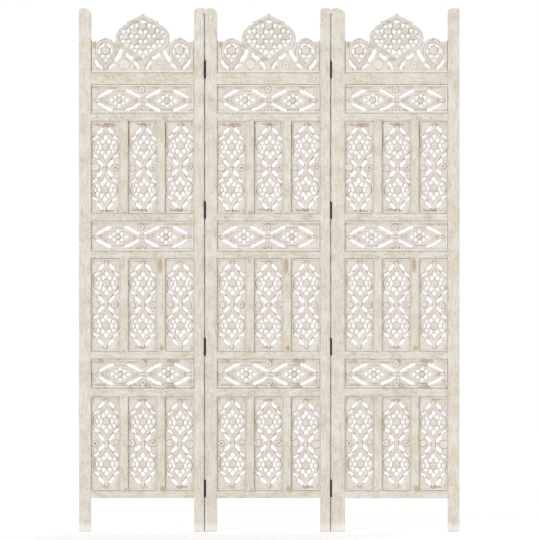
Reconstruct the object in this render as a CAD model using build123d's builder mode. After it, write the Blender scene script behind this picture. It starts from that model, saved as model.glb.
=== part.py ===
from build123d import *
import os

# A folding screen of three carved and pierced wooden panels, standing flat.
# Origin at the centre of the base, +X right, +Y back, +Z up, millimetres.

os.makedirs("parts", exist_ok=True)

# ---- frame ----
opening_width = 324.5
post_widths = {"left": (38.5, 32.0), "centre": (38.5, 32.0), "right": (44.0, 36.5)}
fold_gap = 2.5
post_height = 1650.0
frame_thickness = 25.0
leg_clearance = 105.0
edge_softening = 1.2

# ---- rails and the openings between them, from the floor up ----
rail_heights = [24.0, 27.0, 24.0, 23.5, 24.0, 25.0, 36.0]
rail_names = ["bottom_rail", "rail_6", "rail_5", "rail_4", "rail_3", "rail_2", "top_rail"]
opening_heights = [296.0, 92.0, 292.5, 95.0, 291.0, 91.0]
opening_names = ["lower_inserts", "lower_band", "middle_inserts", "middle_band", "upper_inserts", "upper_band"]
muntin_width = 25.75

# ---- post tops ----
left_top_outer_drop = 8.0
left_top_inner_drop = 16.0
left_top_peak_offset = 15.0
right_top_round = 10.0

# ---- lips that close the back of each gap between panels ----
lip_thickness = 5.0
lip_clearance = 0.3
lip_top_drop = 14.0

# ---- joinery ----
rail_tenon_length = 15.0
rail_tenon_thickness = 8.0
tenon_shoulder = 6.0
tenon_clearance = 0.15
mortise_end_clearance = 0.5
tongue_length = 5.0
tongue_thickness = 6.0
tongue_clearance = 0.2
groove_end_clearance = 0.5
seat_clearance = 0.4

# ---- carved boards ----
board_thickness = 17.0
border_width = 3.5
border_height = 1.5
rosette_height = 1.1
dimple_radius = 2.2
dimple_depth = 1.6
bar_width = 3.4
lobe_swell = 0.2

# ---- upright inserts: two stacked medallions with a net of holes round a rosette ----
medallion_end_margin = 14.5
medallion_vine_margin = 9.0
net_column_pitch = 17.0
net_row_pitch = 15.8
net_cell_stretch = 0.62
net_cell_fullness = 0.76
insert_rosette_radius = 10.0
ring_radius = 8.2
ring_band = 2.8
ring_inset = 12.2
net_reach = 0.74
net_waist = (0.56, 0.5)
upper_leaf_ends = ((0.65, 0.6), (0.16, 0.95))
upper_leaf_bows = (-1.6, -10.0)
upper_leaf_lobes = 3
shoulder_leaf_ends = ((1.1, 0.34), (0.7, 0.535))
shoulder_leaf_bows = (-0.8, -8.0)
shoulder_leaf_lobes = 2

# ---- bands: two long medallions side by side, each with a ring of petals ----
band_medallion_spacing = 156.0
band_petal_reach = 16.4
band_petal_radius = 5.3
band_side_petal_reach = 25.2
band_side_petal_radius = 5.8
band_flower_radius = 7.8
band_ring_radius = 6.8
band_ring_inset = 13.6
band_drawn_height = 92.0
band_side_petal_lean = (0.76, 0.53)
band_leaf_ends = ((67.0, 7.2), (19.5, 30.0))
band_leaf_bows = (1.4, -7.4)
band_leaf_lobes = 4

# ---- crest: a large medallion of flowers between two small ones ----
crest_end_height = 97.8
crest_horn_height = 12.0
crest_horn_width = 7.5
crest_peak_height = 188.0
crest_flower_radius = 12.3
crest_flower_column = 27.0
crest_flower_row = 32.8
crest_flower_middle = 113.0
crest_side_offset = 117.0
crest_side_rosette_height = 69.3
crest_side_rosette_radius = 12.0
crest_drop_radius = 4.2
crest_disc_radius = 15.5
crest_ring_radius = 10.5
crest_tongue_height = 80.0
crest_disc_place = (-57.0, 24.0)
crest_ring_place = (54.0, 22.0)
smallest_hole_area = 18.0

# ---- the crest's outline: the cap of a small medallion, about its middle and above the low end ----
cap_foot = (20.5, 0.8)
cap_corner = (18.5, 7.0)
cap_bow = (10.5, 9.6)
cap_peak_height = 15.0

# ---- the crest's outline: the large medallion's flank and its pointed hood, about the crest's middle ----
flank_foot = (83.0, 97.8)
flank_belly = (85.0, 111.0)
flank_shoulder = (75.5, 136.0)
flank_top = (51.5, 152.0)
hood_corner = (49.8, 162.0)
hood_slope = (25.0, 172.0)

# ---- the field of flowers inside the large medallion ----
field_foot_height = 43.5
field_flank_foot = (50.0, 77.5)
field_belly = (73.5, 113.0)
field_flank_top = (46.0, 142.5)
field_hood_corner = (42.0, 148.0)
field_hood_slope = (22.0, 155.5)
field_peak_height = 166.0
flower_gap = 0.9
drop_places = [(0, 50.0), (24.0, 66.2), (-24.0, 66.2), (51.5, 84.5), (-51.5, 84.5)]
peak_hole_corner = (10.5, 157.2)
peak_hole_top = 164.5
peak_hole_bottom = 159.6

# ---- the holes round a small medallion's rosette, as shares of their reach ----
small_flank = (0.72, -0.7)
small_tip = -1.18
small_drop = -1.22
small_bar_angles = (90, 27, -35, -90, 153, 215)
small_rosette_gap = 0.8
small_drop_rim = 1.9
small_drop_hole = 0.85

# ---- the crest's leaves: both ends, the bows of the smooth and the lobed edge, and the lobes ----
crest_leaves = [
    ((152.5, 40.5), (127.0, 8.5), -1.2, 6.5, 4),
    ((85.5, 26.5), (106.5, 12.5), 4.4, -2.6, 3),
    ((69.5, 71.0), (87.0, 36.0), 0.6, -7.0, 4),
    ((52.0, 61.0), (28.5, 43.5), 0.6, 6.6, 3),
    ((25.8, 32.0), (9.8, 8.5), -4.6, 2.8, 3),
]

# ---- hinges ----
hinge_height = 54.0
hinge_centres = [136.0, 583.3, 1014.7, 1458.0]
leaf_thickness = 2.1
leaf_reach = 27.4
leaf_clearance = 0.3
knuckle_radius = 2.5
knuckle_count = 5
knuckle_gap = 0.3
notch_clearance = 0.4
gain_clearance = 0.15
pin_radius = 1.3
pin_clearance = 0.05
pin_head_radius = 2.2
pin_head_height = 1.4
screw_radius = 1.6
screw_head_radius = 3.0
screw_length = 15.0
screw_clearance = 0.1
screw_head_clearance = 0.05
screw_spacing = 18.0
screw_count = 3
screw_angle = 90.0
slot_width = 0.7
slot_depth = 0.6

# ---- sizes that follow ----
front = frame_thickness / 2
groove_depth = tongue_length + groove_end_clearance
groove_width = tongue_thickness + 2 * tongue_clearance
field_thickness = board_thickness - 2 * border_height
insert_width = (opening_width - 2 * muntin_width) / 3
insert_pitch = insert_width + muntin_width
gain_depth = leaf_thickness - (fold_gap - leaf_clearance) / 2
lip_reach = (fold_gap - lip_clearance) / 2
axis_offset = front + knuckle_radius

panel_widths = {side: sum(widths) + opening_width for side, widths in post_widths.items()}
screen_width = sum(panel_widths.values()) + 2 * fold_gap
panel_lefts = {"left": -screen_width / 2}
panel_lefts["centre"] = panel_lefts["left"] + panel_widths["left"] + fold_gap
panel_lefts["right"] = panel_lefts["centre"] + panel_widths["centre"] + fold_gap
opening_centres = {
    side: panel_lefts[side] + widths[0] + opening_width / 2 for side, widths in post_widths.items()
}
left_fold_x = panel_lefts["centre"] - fold_gap / 2
right_fold_x = panel_lefts["right"] - fold_gap / 2

rail_bottoms = [leg_clearance]
for rail_height, opening_height in zip(rail_heights, opening_heights):
    rail_bottoms.append(rail_bottoms[-1] + rail_height + opening_height)
opening_bottoms = [bottom + height for bottom, height in zip(rail_bottoms, rail_heights)]
crest_bottom = rail_bottoms[-1] + rail_heights[-1]


# ---- shapes of the pierced holes ----

def leaf_hole(start, end, sag, depth, lobes):
    """A leaf-shaped hole: a smooth edge that bows by sag, and a lobed edge that bows by depth."""
    base = Vector(*start)
    chord = Vector(*end) - base
    aside = Vector(-chord.Y, chord.X).normalized()
    swell = aside * (lobe_swell * chord.length / lobes * (1 if depth > 0 else -1))

    def edge_point(share, bow):
        return base + chord * share + aside * (4 * bow * share * (1 - share))

    with BuildSketch() as hole:
        with BuildLine():
            ThreePointArc(edge_point(0, sag), edge_point(0.5, sag), edge_point(1, sag))
            for lobe in range(lobes, 0, -1):
                outer = edge_point(lobe / lobes, depth)
                inner = edge_point((lobe - 1) / lobes, depth)
                ThreePointArc(outer, (outer + inner) * 0.5 + swell, inner)
        make_face()
    return hole.sketch


def net_cell():
    """One hole of the net: a four-sided cell with full, rounded sides."""
    half_width = (net_column_pitch - bar_width) / 2
    tip = (net_row_pitch - bar_width) * net_cell_stretch
    side = (half_width * net_cell_fullness, tip * net_cell_fullness)
    with BuildSketch() as cell:
        with BuildLine():
            ThreePointArc((0, tip), side, (half_width, 0))
            ThreePointArc((half_width, 0), (side[0], -side[1]), (0, -tip))
            Line((0, -tip), (0, tip))
        make_face()
        mirror(about=Plane.YZ)
    return cell.sketch


def large_pieces(sketch):
    """The faces of a sketch that are large enough to be cut as holes."""
    return [face for face in sketch.faces() if face.area > smallest_hole_area]


def insert_holes(width, height):
    """The holes of one upright insert, about its centre."""
    half_medallion = (height / 2 - medallion_end_margin) / 2
    flank = width / 2 - medallion_vine_margin
    reach = half_medallion * net_reach
    waist = (flank * net_waist[0], half_medallion * net_waist[1])
    cell = net_cell()
    upper_ends = [(flank * x, half_medallion * y) for x, y in upper_leaf_ends]
    upper_leaf = leaf_hole(*upper_ends, *upper_leaf_bows, upper_leaf_lobes)
    shoulder_ends = [(flank * x, half_medallion * y) for x, y in shoulder_leaf_ends]
    shoulder_leaf = leaf_hole(*shoulder_ends, *shoulder_leaf_bows, shoulder_leaf_lobes)
    with BuildSketch() as inside:
        with BuildLine():
            ThreePointArc((0, reach), waist, (flank, 0))
            ThreePointArc((flank, 0), (waist[0], -waist[1]), (0, -reach))
            Line((0, -reach), (0, reach))
        make_face()
        mirror(about=Plane.YZ)
    with BuildSketch() as net:
        for row, columns in ((0, (2, 4)), (1, (1, 3)), (2, (0,))):
            for column in columns:
                x = column * net_column_pitch / 2
                y = row * net_row_pitch
                with Locations((x, y)):
                    add(cell)
        mirror(about=Plane.YZ)
        mirror(about=Plane.XZ)
        add(inside.sketch, mode=Mode.INTERSECT)
        Circle(insert_rosette_radius, mode=Mode.SUBTRACT)
    with BuildSketch() as medallion:
        add(upper_leaf)
        add(shoulder_leaf)
        mirror(about=Plane.YZ)
        mirror(about=Plane.XZ)
        for face in large_pieces(net.sketch):
            add(face)
    with BuildSketch() as holes:
        with Locations((0, half_medallion), (0, -half_medallion)):
            add(medallion.sketch)
    return holes.sketch


def band_holes(height):
    """The holes of one band, about its centre."""
    stretch = height / band_drawn_height
    leaf_ends = [(x, y * stretch) for x, y in band_leaf_ends]
    leaf = leaf_hole(*leaf_ends, *band_leaf_bows, band_leaf_lobes)
    lean_x, lean_y = band_side_petal_lean
    with BuildSketch() as medallion:
        add(leaf)
        with Locations((0, band_petal_reach * stretch)):
            Circle(band_petal_radius)
        with Locations((band_petal_reach * lean_x, band_petal_reach * lean_y * stretch)):
            Circle(band_petal_radius)
        mirror(about=Plane.XZ)
        with Locations((band_side_petal_reach, 0)):
            Circle(band_side_petal_radius)
        mirror(about=Plane.YZ)
    with BuildSketch() as holes:
        with Locations((-band_medallion_spacing / 2, 0), (band_medallion_spacing / 2, 0)):
            add(medallion.sketch)
    return holes.sketch


def crest_outline(width):
    """The crest seen from the front, from its foot up, about its middle."""
    end = width / 2
    low = crest_end_height
    side = crest_side_offset
    with BuildSketch() as outline:
        with BuildLine():
            Polyline((0, 0), (end, 0), (end, low + crest_horn_height))
            Spline(
                (end, low + crest_horn_height), (end - crest_horn_width, low),
                tangents=[(-0.1, -1), (-1, -0.05)],
            )
            Line((end - crest_horn_width, low), (side + cap_foot[0], low + cap_foot[1]))
            Line((side + cap_foot[0], low + cap_foot[1]), (side + cap_corner[0], low + cap_corner[1]))
            ThreePointArc(
                (side + cap_corner[0], low + cap_corner[1]),
                (side + cap_bow[0], low + cap_bow[1]),
                (side, low + cap_peak_height),
            )
            ThreePointArc(
                (side, low + cap_peak_height),
                (side - cap_bow[0], low + cap_bow[1]),
                (side - cap_corner[0], low + cap_corner[1]),
            )
            Line((side - cap_corner[0], low + cap_corner[1]), (side - cap_foot[0], low + cap_foot[1]))
            Line((side - cap_foot[0], low + cap_foot[1]), flank_foot)
            Spline(
                flank_foot, flank_belly, flank_shoulder, flank_top,
                tangents=[(0.1, 1), (0, 1), (-0.62, 0.8), (-1, 0.25)],
            )
            Line(flank_top, hood_corner)
            Spline(
                hood_corner, hood_slope, (0, crest_peak_height),
                tangents=[(-1, 0.18), (-1, 0.5), (-0.75, 1)],
            )
            Line((0, crest_peak_height), (0, 0))
        make_face()
        mirror(about=Plane.YZ)
    return outline.sketch


def flower_net():
    """The holes between the flowers of the large medallion: curved triangles, and drops along its foot."""
    third = crest_flower_column / 3
    corners = [(-third, -crest_flower_row / 2), (2 * third, 0), (-third, crest_flower_row / 2)]
    corner_x, corner_y = peak_hole_corner
    with BuildSketch() as inside:
        with BuildLine():
            Line((0, field_foot_height), field_flank_foot)
            ThreePointArc(field_flank_foot, field_belly, field_flank_top)
            Line(field_flank_top, field_hood_corner)
            ThreePointArc(field_hood_corner, field_hood_slope, (0, field_peak_height))
            Line((0, field_peak_height), (0, field_foot_height))
        make_face()
        mirror(about=Plane.YZ)
    with BuildSketch() as fret:
        with BuildLine():
            Polyline(*corners, close=True)
        make_face()
        offset(amount=-bar_width / 2, kind=Kind.INTERSECTION)
        with Locations(*corners):
            Circle(crest_flower_radius + flower_gap, mode=Mode.SUBTRACT)
    with BuildSketch() as frets:
        for column in range(4):
            for row in range(-3, 3):
                if (row + column) % 2 == 0:
                    continue
                x = column * crest_flower_column
                y = crest_flower_middle + row * crest_flower_row / 2
                with Locations(Location((x + third, y, 0), (0, 0, 0)), Location((x - third, y, 0), (0, 0, 180))):
                    add(fret.sketch)
        mirror(about=Plane.YZ)
        add(inside.sketch, mode=Mode.INTERSECT)
    with BuildSketch() as net:
        for face in large_pieces(frets.sketch):
            add(face)
        with Locations(*drop_places):
            Circle(crest_drop_radius)
        with BuildLine():
            Polyline((-corner_x, corner_y), (0, peak_hole_top), (corner_x, corner_y))
            ThreePointArc((corner_x, corner_y), (0, peak_hole_bottom), (-corner_x, corner_y))
        make_face()
    return net.sketch


def side_medallion():
    """The seven holes round the rosette of a small medallion, about that rosette."""
    reach = crest_side_rosette_radius * 2
    flank = (reach * small_flank[0], reach * small_flank[1])
    tip = (0, reach * small_tip)
    with BuildSketch() as holes:
        with BuildLine():
            ThreePointArc((0, reach), (reach, 0), flank)
            Line(flank, tip)
            Line(tip, (0, reach))
        make_face()
        mirror(about=Plane.YZ)
        Circle(crest_side_rosette_radius + small_rosette_gap, mode=Mode.SUBTRACT)
        for angle in small_bar_angles:
            with Locations(Location((0, 0, 0), (0, 0, angle))):
                Rectangle(2 * reach, bar_width, align=(Align.MIN, Align.CENTER), mode=Mode.SUBTRACT)
        with Locations((0, reach * small_drop)):
            Circle(bar_width * small_drop_rim, mode=Mode.SUBTRACT)
            Circle(bar_width * small_drop_hole)
    return holes.sketch


def crest_holes():
    """All the holes of the crest, from its foot up, about its middle."""
    side = side_medallion()
    net = flower_net()
    leaves = [leaf_hole(*leaf) for leaf in crest_leaves]
    with BuildSketch() as holes:
        with Locations((crest_side_offset, crest_side_rosette_height)):
            add(side)
        for leaf in leaves:
            add(leaf)
        mirror(about=Plane.YZ)
        add(net)
    return holes.sketch


# ---- carved boards ----

def raised_dimples(spots):
    """Tools for the dimples at the middle of rosettes and rings: a small sphere on each face."""
    with BuildPart() as dimples:
        for x, z in spots:
            for y in (-field_thickness / 2 - rosette_height, field_thickness / 2 + rosette_height):
                with Locations((x, y, z)):
                    Sphere(dimple_radius)
    return dimples.part


def carved_insert(height):
    """One upright insert with its tongues, about its centre."""
    width = insert_width - 2 * seat_clearance
    tall = height - 2 * seat_clearance
    holes = insert_holes(width, tall)
    half_medallion = (tall / 2 - medallion_end_margin) / 2
    rings = [(-width / 2 + ring_inset, 0), (width / 2 - ring_inset, 0)]
    rosettes = [(0, half_medallion), (0, -half_medallion)]
    dimples = raised_dimples(rosettes)
    tongue_reach = 2 * (tongue_length + seat_clearance)
    with BuildPart() as board:
        with BuildSketch(Plane.XZ):
            Rectangle(width, tall)
        extrude(amount=field_thickness / 2, both=True)
        with BuildSketch(Plane.XZ):
            Rectangle(width, tall)
            Rectangle(width - 2 * border_width, tall - 2 * border_width, mode=Mode.SUBTRACT)
            with Locations(*rings):
                Circle(ring_radius)
        extrude(amount=board_thickness / 2, both=True)
        with BuildSketch(Plane.XZ):
            with Locations(*rosettes):
                Circle(insert_rosette_radius)
        extrude(amount=field_thickness / 2 + rosette_height, both=True)
        with BuildSketch(Plane.XZ):
            Rectangle(width + tongue_reach, tall + tongue_reach)
        extrude(amount=tongue_thickness / 2, both=True)
        with BuildSketch(Plane.XZ):
            add(holes)
        extrude(amount=board_thickness, both=True, mode=Mode.SUBTRACT)
        add(dimples, mode=Mode.SUBTRACT)
        for y in (-board_thickness / 2, board_thickness / 2):
            with Locations(*[(x, y, z) for x, z in rings]):
                Cylinder(
                    ring_radius - ring_band, 2 * border_height, rotation=(90, 0, 0), mode=Mode.SUBTRACT
                )
    return board.part


def carved_band(height):
    """One band with its tongues, about its centre."""
    width = opening_width - 2 * seat_clearance
    tall = height - 2 * seat_clearance
    holes = band_holes(tall)
    rings = [(0, tall / 2 - band_ring_inset), (0, band_ring_inset - tall / 2)]
    flowers = [(-band_medallion_spacing / 2, 0), (band_medallion_spacing / 2, 0)]
    dimples = raised_dimples(rings + flowers)
    tongue_reach = 2 * (tongue_length + seat_clearance)
    with BuildPart() as board:
        with BuildSketch(Plane.XZ):
            Rectangle(width, tall)
        extrude(amount=field_thickness / 2, both=True)
        with BuildSketch(Plane.XZ):
            Rectangle(width, tall)
            Rectangle(width - 2 * border_width, tall - 2 * border_width, mode=Mode.SUBTRACT)
        extrude(amount=board_thickness / 2, both=True)
        with BuildSketch(Plane.XZ):
            with Locations(*rings):
                Circle(band_ring_radius)
            with Locations(*flowers):
                Circle(band_flower_radius)
        extrude(amount=field_thickness / 2 + rosette_height, both=True)
        with BuildSketch(Plane.XZ):
            Rectangle(width + tongue_reach, tall + tongue_reach)
        extrude(amount=tongue_thickness / 2, both=True)
        with BuildSketch(Plane.XZ):
            add(holes)
        extrude(amount=board_thickness, both=True, mode=Mode.SUBTRACT)
        add(dimples, mode=Mode.SUBTRACT)
    return board.part


def carved_crest():
    """The crest with its tongues, from its foot up, about its middle."""
    width = opening_width - 2 * seat_clearance
    outline = crest_outline(width)
    holes = crest_holes()
    columns = (-2, -1, 0, 1, 2)
    flowers = []
    for column in columns:
        for row in range(abs(column) - 2, 3 - abs(column), 2):
            flowers.append((column * crest_flower_column, crest_flower_middle + row * crest_flower_row / 2))
    sides = [(-crest_side_offset, crest_side_rosette_height), (crest_side_offset, crest_side_rosette_height)]
    dimples = raised_dimples(sides + [crest_disc_place, crest_ring_place, (0, crest_flower_middle)])
    with BuildPart() as board:
        with BuildSketch(Plane.XZ.offset(-field_thickness / 2)):
            add(outline)
        extrude(amount=field_thickness)
        with BuildSketch(Plane.XZ):
            Rectangle(width, 2 * border_width, align=(Align.CENTER, Align.MIN))
        extrude(amount=board_thickness / 2, both=True)
        with BuildSketch(Plane.XZ):
            with Locations(*flowers):
                Circle(crest_flower_radius)
            with Locations(*sides):
                Circle(crest_side_rosette_radius)
            with Locations(crest_disc_place):
                Circle(crest_disc_radius)
            with Locations(crest_ring_place):
                Circle(crest_ring_radius)
        extrude(amount=field_thickness / 2 + rosette_height, both=True)
        with BuildSketch(Plane.XZ):
            with Locations((0, -seat_clearance - tongue_length)):
                Rectangle(
                    opening_width + 2 * tongue_length,
                    crest_tongue_height + seat_clearance + tongue_length,
                    align=(Align.CENTER, Align.MIN),
                )
        extrude(amount=tongue_thickness / 2, both=True)
        with BuildSketch(Plane.XZ):
            add(holes)
        extrude(amount=board_thickness, both=True, mode=Mode.SUBTRACT)
        add(dimples, mode=Mode.SUBTRACT)
    return board.part


# ---- frame pieces, about the middle of the opening ----

def post(inner_x, width, outward, hinge_face):
    """A post from its inner face at inner_x. hinge_face is -1 or 1 for hinges at front or back, or 0."""
    outer_x = inner_x + outward * width
    low_x, high_x = min(inner_x, outer_x), max(inner_x, outer_x)
    with BuildPart() as blank:
        with BuildSketch(Plane.XZ) as side:
            if outward < 0:
                with BuildLine():
                    Polyline(
                        (low_x, post_height - left_top_outer_drop), (low_x, 0),
                        (high_x, 0), (high_x, post_height - left_top_inner_drop),
                    )
                    peak = (low_x + left_top_peak_offset, post_height)
                    TangentArc(peak, (high_x, post_height - left_top_inner_drop), tangent=(1, 0))
                    TangentArc(peak, (low_x, post_height - left_top_outer_drop), tangent=(-1, 0))
                make_face()
            else:
                with Locations(((low_x + high_x) / 2, post_height / 2)):
                    Rectangle(width, post_height)
                fillet(side.vertices().group_by(Axis.Y)[-1], radius=right_top_round)
        extrude(amount=front, both=True)
        outlines = blank.faces().filter_by(Axis.Y).edges()
        fillet(outlines.filter_by(lambda edge: edge.center().Z > edge_softening), radius=edge_softening)
        groove_foot = opening_bottoms[0] - groove_depth
        groove_top = crest_bottom + seat_clearance + crest_tongue_height + groove_end_clearance
        with Locations((inner_x, 0, (groove_foot + groove_top) / 2)):
            Box(2 * groove_depth, groove_width, groove_top - groove_foot, mode=Mode.SUBTRACT)
        for bottom, height in zip(rail_bottoms, rail_heights):
            with Locations((inner_x, 0, bottom + height / 2)):
                Box(
                    2 * (rail_tenon_length + mortise_end_clearance),
                    rail_tenon_thickness + 2 * tenon_clearance,
                    height - 2 * tenon_shoulder + 2 * tenon_clearance,
                    mode=Mode.SUBTRACT,
                )
        if hinge_face != 0:
            lip_top = post_height - lip_top_drop
            lip_place = (outer_x + outward * (lip_reach - edge_softening) / 2, front - lip_thickness / 2)
            with Locations((*lip_place, lip_top / 2)):
                Box(lip_reach + edge_softening, lip_thickness, lip_top)
            leaf_end = hinge_face * (axis_offset - leaf_reach - gain_clearance)
            gain_start = hinge_face * (front + edge_softening)
            gain_x = outer_x + outward * (fold_gap / 2 - gain_depth) / 2
            bore_depth = screw_length - leaf_thickness + gain_depth + screw_clearance
            for hinge_z in hinge_centres:
                with Locations((gain_x, (gain_start + leaf_end) / 2, hinge_z)):
                    Box(
                        gain_depth + fold_gap / 2, abs(gain_start - leaf_end),
                        hinge_height + 2 * gain_clearance, mode=Mode.SUBTRACT,
                    )
                for spot_y, spot_z in screw_spots:
                    with Locations((outer_x, hinge_face * (axis_offset - spot_y), hinge_z + spot_z)):
                        Cylinder(
                            screw_radius + screw_clearance, 2 * bore_depth, rotation=(0, 90, 0),
                            mode=Mode.SUBTRACT,
                        )
    return blank.part


def rail(height, grooved_above, grooved_below):
    """A rail between the posts with a tenon at each end, about its centre."""
    with BuildPart() as bar:
        Box(opening_width, frame_thickness, height)
        fillet(bar.edges().filter_by(Axis.X), radius=edge_softening)
        Box(opening_width + 2 * rail_tenon_length, rail_tenon_thickness, height - 2 * tenon_shoulder)
        if grooved_above:
            with Locations((0, 0, height / 2)):
                Box(opening_width, groove_width, 2 * groove_depth, mode=Mode.SUBTRACT)
        if grooved_below:
            with Locations((0, 0, -height / 2)):
                Box(opening_width, groove_width, 2 * groove_depth, mode=Mode.SUBTRACT)
    return bar.part


def muntin(height):
    """An upright bar between two inserts, with a stub tenon at each end, about its centre."""
    with BuildPart() as bar:
        Box(muntin_width, frame_thickness, height)
        fillet(bar.edges().filter_by(Axis.Z), radius=edge_softening)
        Box(muntin_width, tongue_thickness, height + 2 * tongue_length)
        with Locations((-muntin_width / 2, 0, 0), (muntin_width / 2, 0, 0)):
            Box(2 * groove_depth, groove_width, height + 2 * groove_depth, mode=Mode.SUBTRACT)
    return bar.part


# ---- hinge pieces, about the hinge's axis, leaves reaching towards +Y ----

screw_y = (knuckle_radius + leaf_reach) / 2
screw_spots = [(screw_y, (index - (screw_count - 1) / 2) * screw_spacing) for index in range(screw_count)]
knuckle_length = (hinge_height - (knuckle_count - 1) * knuckle_gap) / knuckle_count
knuckle_centres = [
    (index - (knuckle_count - 1) / 2) * (knuckle_length + knuckle_gap) for index in range(knuckle_count)
]


def hinge_leaf(side, parity):
    """A leaf on the side -1 or 1 of the gap, with every second knuckle from the one numbered parity."""
    outer_x = side * (leaf_clearance / 2 + leaf_thickness)
    middle_x = side * (leaf_clearance + leaf_thickness) / 2
    notch = knuckle_radius + notch_clearance
    with BuildPart() as leaf:
        with Locations((middle_x, (notch + leaf_reach) / 2, 0)):
            Box(leaf_thickness, leaf_reach - notch, hinge_height)
        for centre in knuckle_centres[parity::2]:
            with Locations((0, 0, centre)):
                Cylinder(knuckle_radius, knuckle_length)
            with Locations((middle_x, notch / 2, centre)):
                Box(leaf_thickness, notch, knuckle_length)
        Cylinder(pin_radius + pin_clearance, 2 * hinge_height, mode=Mode.SUBTRACT)
        inner_face = Plane(origin=(side * leaf_clearance / 2, 0, 0), x_dir=(0, 1, 0), z_dir=(-side, 0, 0))
        with Locations(*[inner_face.location * Location((y, -side * z, 0)) for y, z in screw_spots]):
            CounterSinkHole(
                screw_radius + screw_clearance, screw_head_radius + screw_head_clearance,
                leaf_thickness, screw_angle,
            )
    return leaf.part


def hinge_pin():
    """The pin with a low domed head at each end."""
    with BuildPart() as pin:
        Cylinder(pin_radius, hinge_height + 2 * pin_clearance)
        for end in (-1, 1):
            with Locations((0, 0, end * (hinge_height / 2 + pin_clearance + pin_head_height / 2))):
                Cylinder(pin_head_radius, pin_head_height)
        fillet(pin.edges().group_by(Axis.Z)[0] + pin.edges().group_by(Axis.Z)[-1], radius=pin_head_height / 2)
    return pin.part


def wood_screw():
    """A countersunk slotted screw, its flat head at the origin and its point towards -Z."""
    head_height = screw_head_radius - screw_radius
    with BuildPart() as screw:
        with BuildSketch(Plane.XZ):
            with BuildLine():
                Polyline(
                    (0, 0), (screw_head_radius, 0), (screw_radius, -head_height),
                    (screw_radius, 2 * screw_radius - screw_length), (0, -screw_length), close=True,
                )
            make_face()
        revolve(axis=Axis.Z)
        Box(2 * screw_head_radius, slot_width, 2 * slot_depth, mode=Mode.SUBTRACT)
    return screw.part


# ---- build the pieces once, then place and write them panel by panel ----

def write(name, placed):
    """Write one node: each piece with the list of its places, all as separate solids."""
    with BuildPart() as node:
        for piece, places in placed:
            with Locations(*places):
                add(piece)
    node.part.label = name
    export_step(node.part, f"parts/{name}.step")


boards = []
for index, height in enumerate(opening_heights):
    boards.append(carved_insert(height) if index % 2 == 0 else carved_band(height))
crest = carved_crest()
muntins = [muntin(height) for height in opening_heights[::2]]
rails = [rail(height, True, index > 0) for index, height in enumerate(rail_heights)]
outer_leaf = hinge_leaf(-1, 0)
centre_leaf = hinge_leaf(1, 1)
pin = hinge_pin()
screw = wood_screw()

hinge_faces = {"left": (0, -1), "centre": (-1, 1), "right": (1, 0)}
for side in panel_lefts:
    centre_x = opening_centres[side]
    left_width, right_width = post_widths[side]
    left_face, right_face = hinge_faces[side]
    at_opening = Location((centre_x, 0, 0))
    write(f"{side}_panel_left_post", [(post(-opening_width / 2, left_width, -1, left_face), [at_opening])])
    write(f"{side}_panel_right_post", [(post(opening_width / 2, right_width, 1, right_face), [at_opening])])
    for name, bottom, height, bar in zip(rail_names, rail_bottoms, rail_heights, rails):
        write(f"{side}_panel_{name}", [(bar, [Location((centre_x, 0, bottom + height / 2))])])
    upright_bars = []
    for index, name in enumerate(opening_names):
        middle_z = opening_bottoms[index] + opening_heights[index] / 2
        steps = (-1, 0, 1) if index % 2 == 0 else (0,)
        places = [Location((centre_x + step * insert_pitch, 0, middle_z)) for step in steps]
        write(f"{side}_panel_{name}", [(boards[index], places)])
        if index % 2 == 0:
            between = [Location((centre_x + step * insert_pitch, 0, middle_z)) for step in (-0.5, 0.5)]
            upright_bars.append((muntins[index // 2], between))
    write(f"{side}_panel_muntins", upright_bars)
    write(f"{side}_panel_crest", [(crest, [Location((centre_x, 0, crest_bottom + seat_clearance))])])

# Each fold is set out at its axis. The right fold is the left one turned half round.
left_axes = [Location((left_fold_x, -axis_offset, z)) for z in hinge_centres]
right_axes = [Location((right_fold_x, axis_offset, z), (0, 0, 180)) for z in hinge_centres]
head_x = leaf_clearance / 2
outer_spots = [Location((-head_x, y, z), (0, 90, 0)) for y, z in screw_spots]
centre_spots = [Location((head_x, y, z), (0, -90, 0)) for y, z in screw_spots]

write("left_panel_hinge_leaves", [(outer_leaf, left_axes)])
write("centre_panel_hinge_leaves", [(centre_leaf, left_axes + right_axes)])
write("right_panel_hinge_leaves", [(outer_leaf, right_axes)])
write("hinge_pins", [(pin, left_axes + right_axes)])
write("left_panel_hinge_screws", [(screw, [axis * spot for axis in left_axes for spot in outer_spots])])
write(
    "centre_panel_hinge_screws",
    [(screw, [axis * spot for axis in left_axes + right_axes for spot in centre_spots])],
)
write("right_panel_hinge_screws", [(screw, [axis * spot for axis in right_axes for spot in outer_spots])])
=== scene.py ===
"""A folding screen of three carved and pierced panels in whitewashed solid wood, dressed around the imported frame."""
import math

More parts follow.
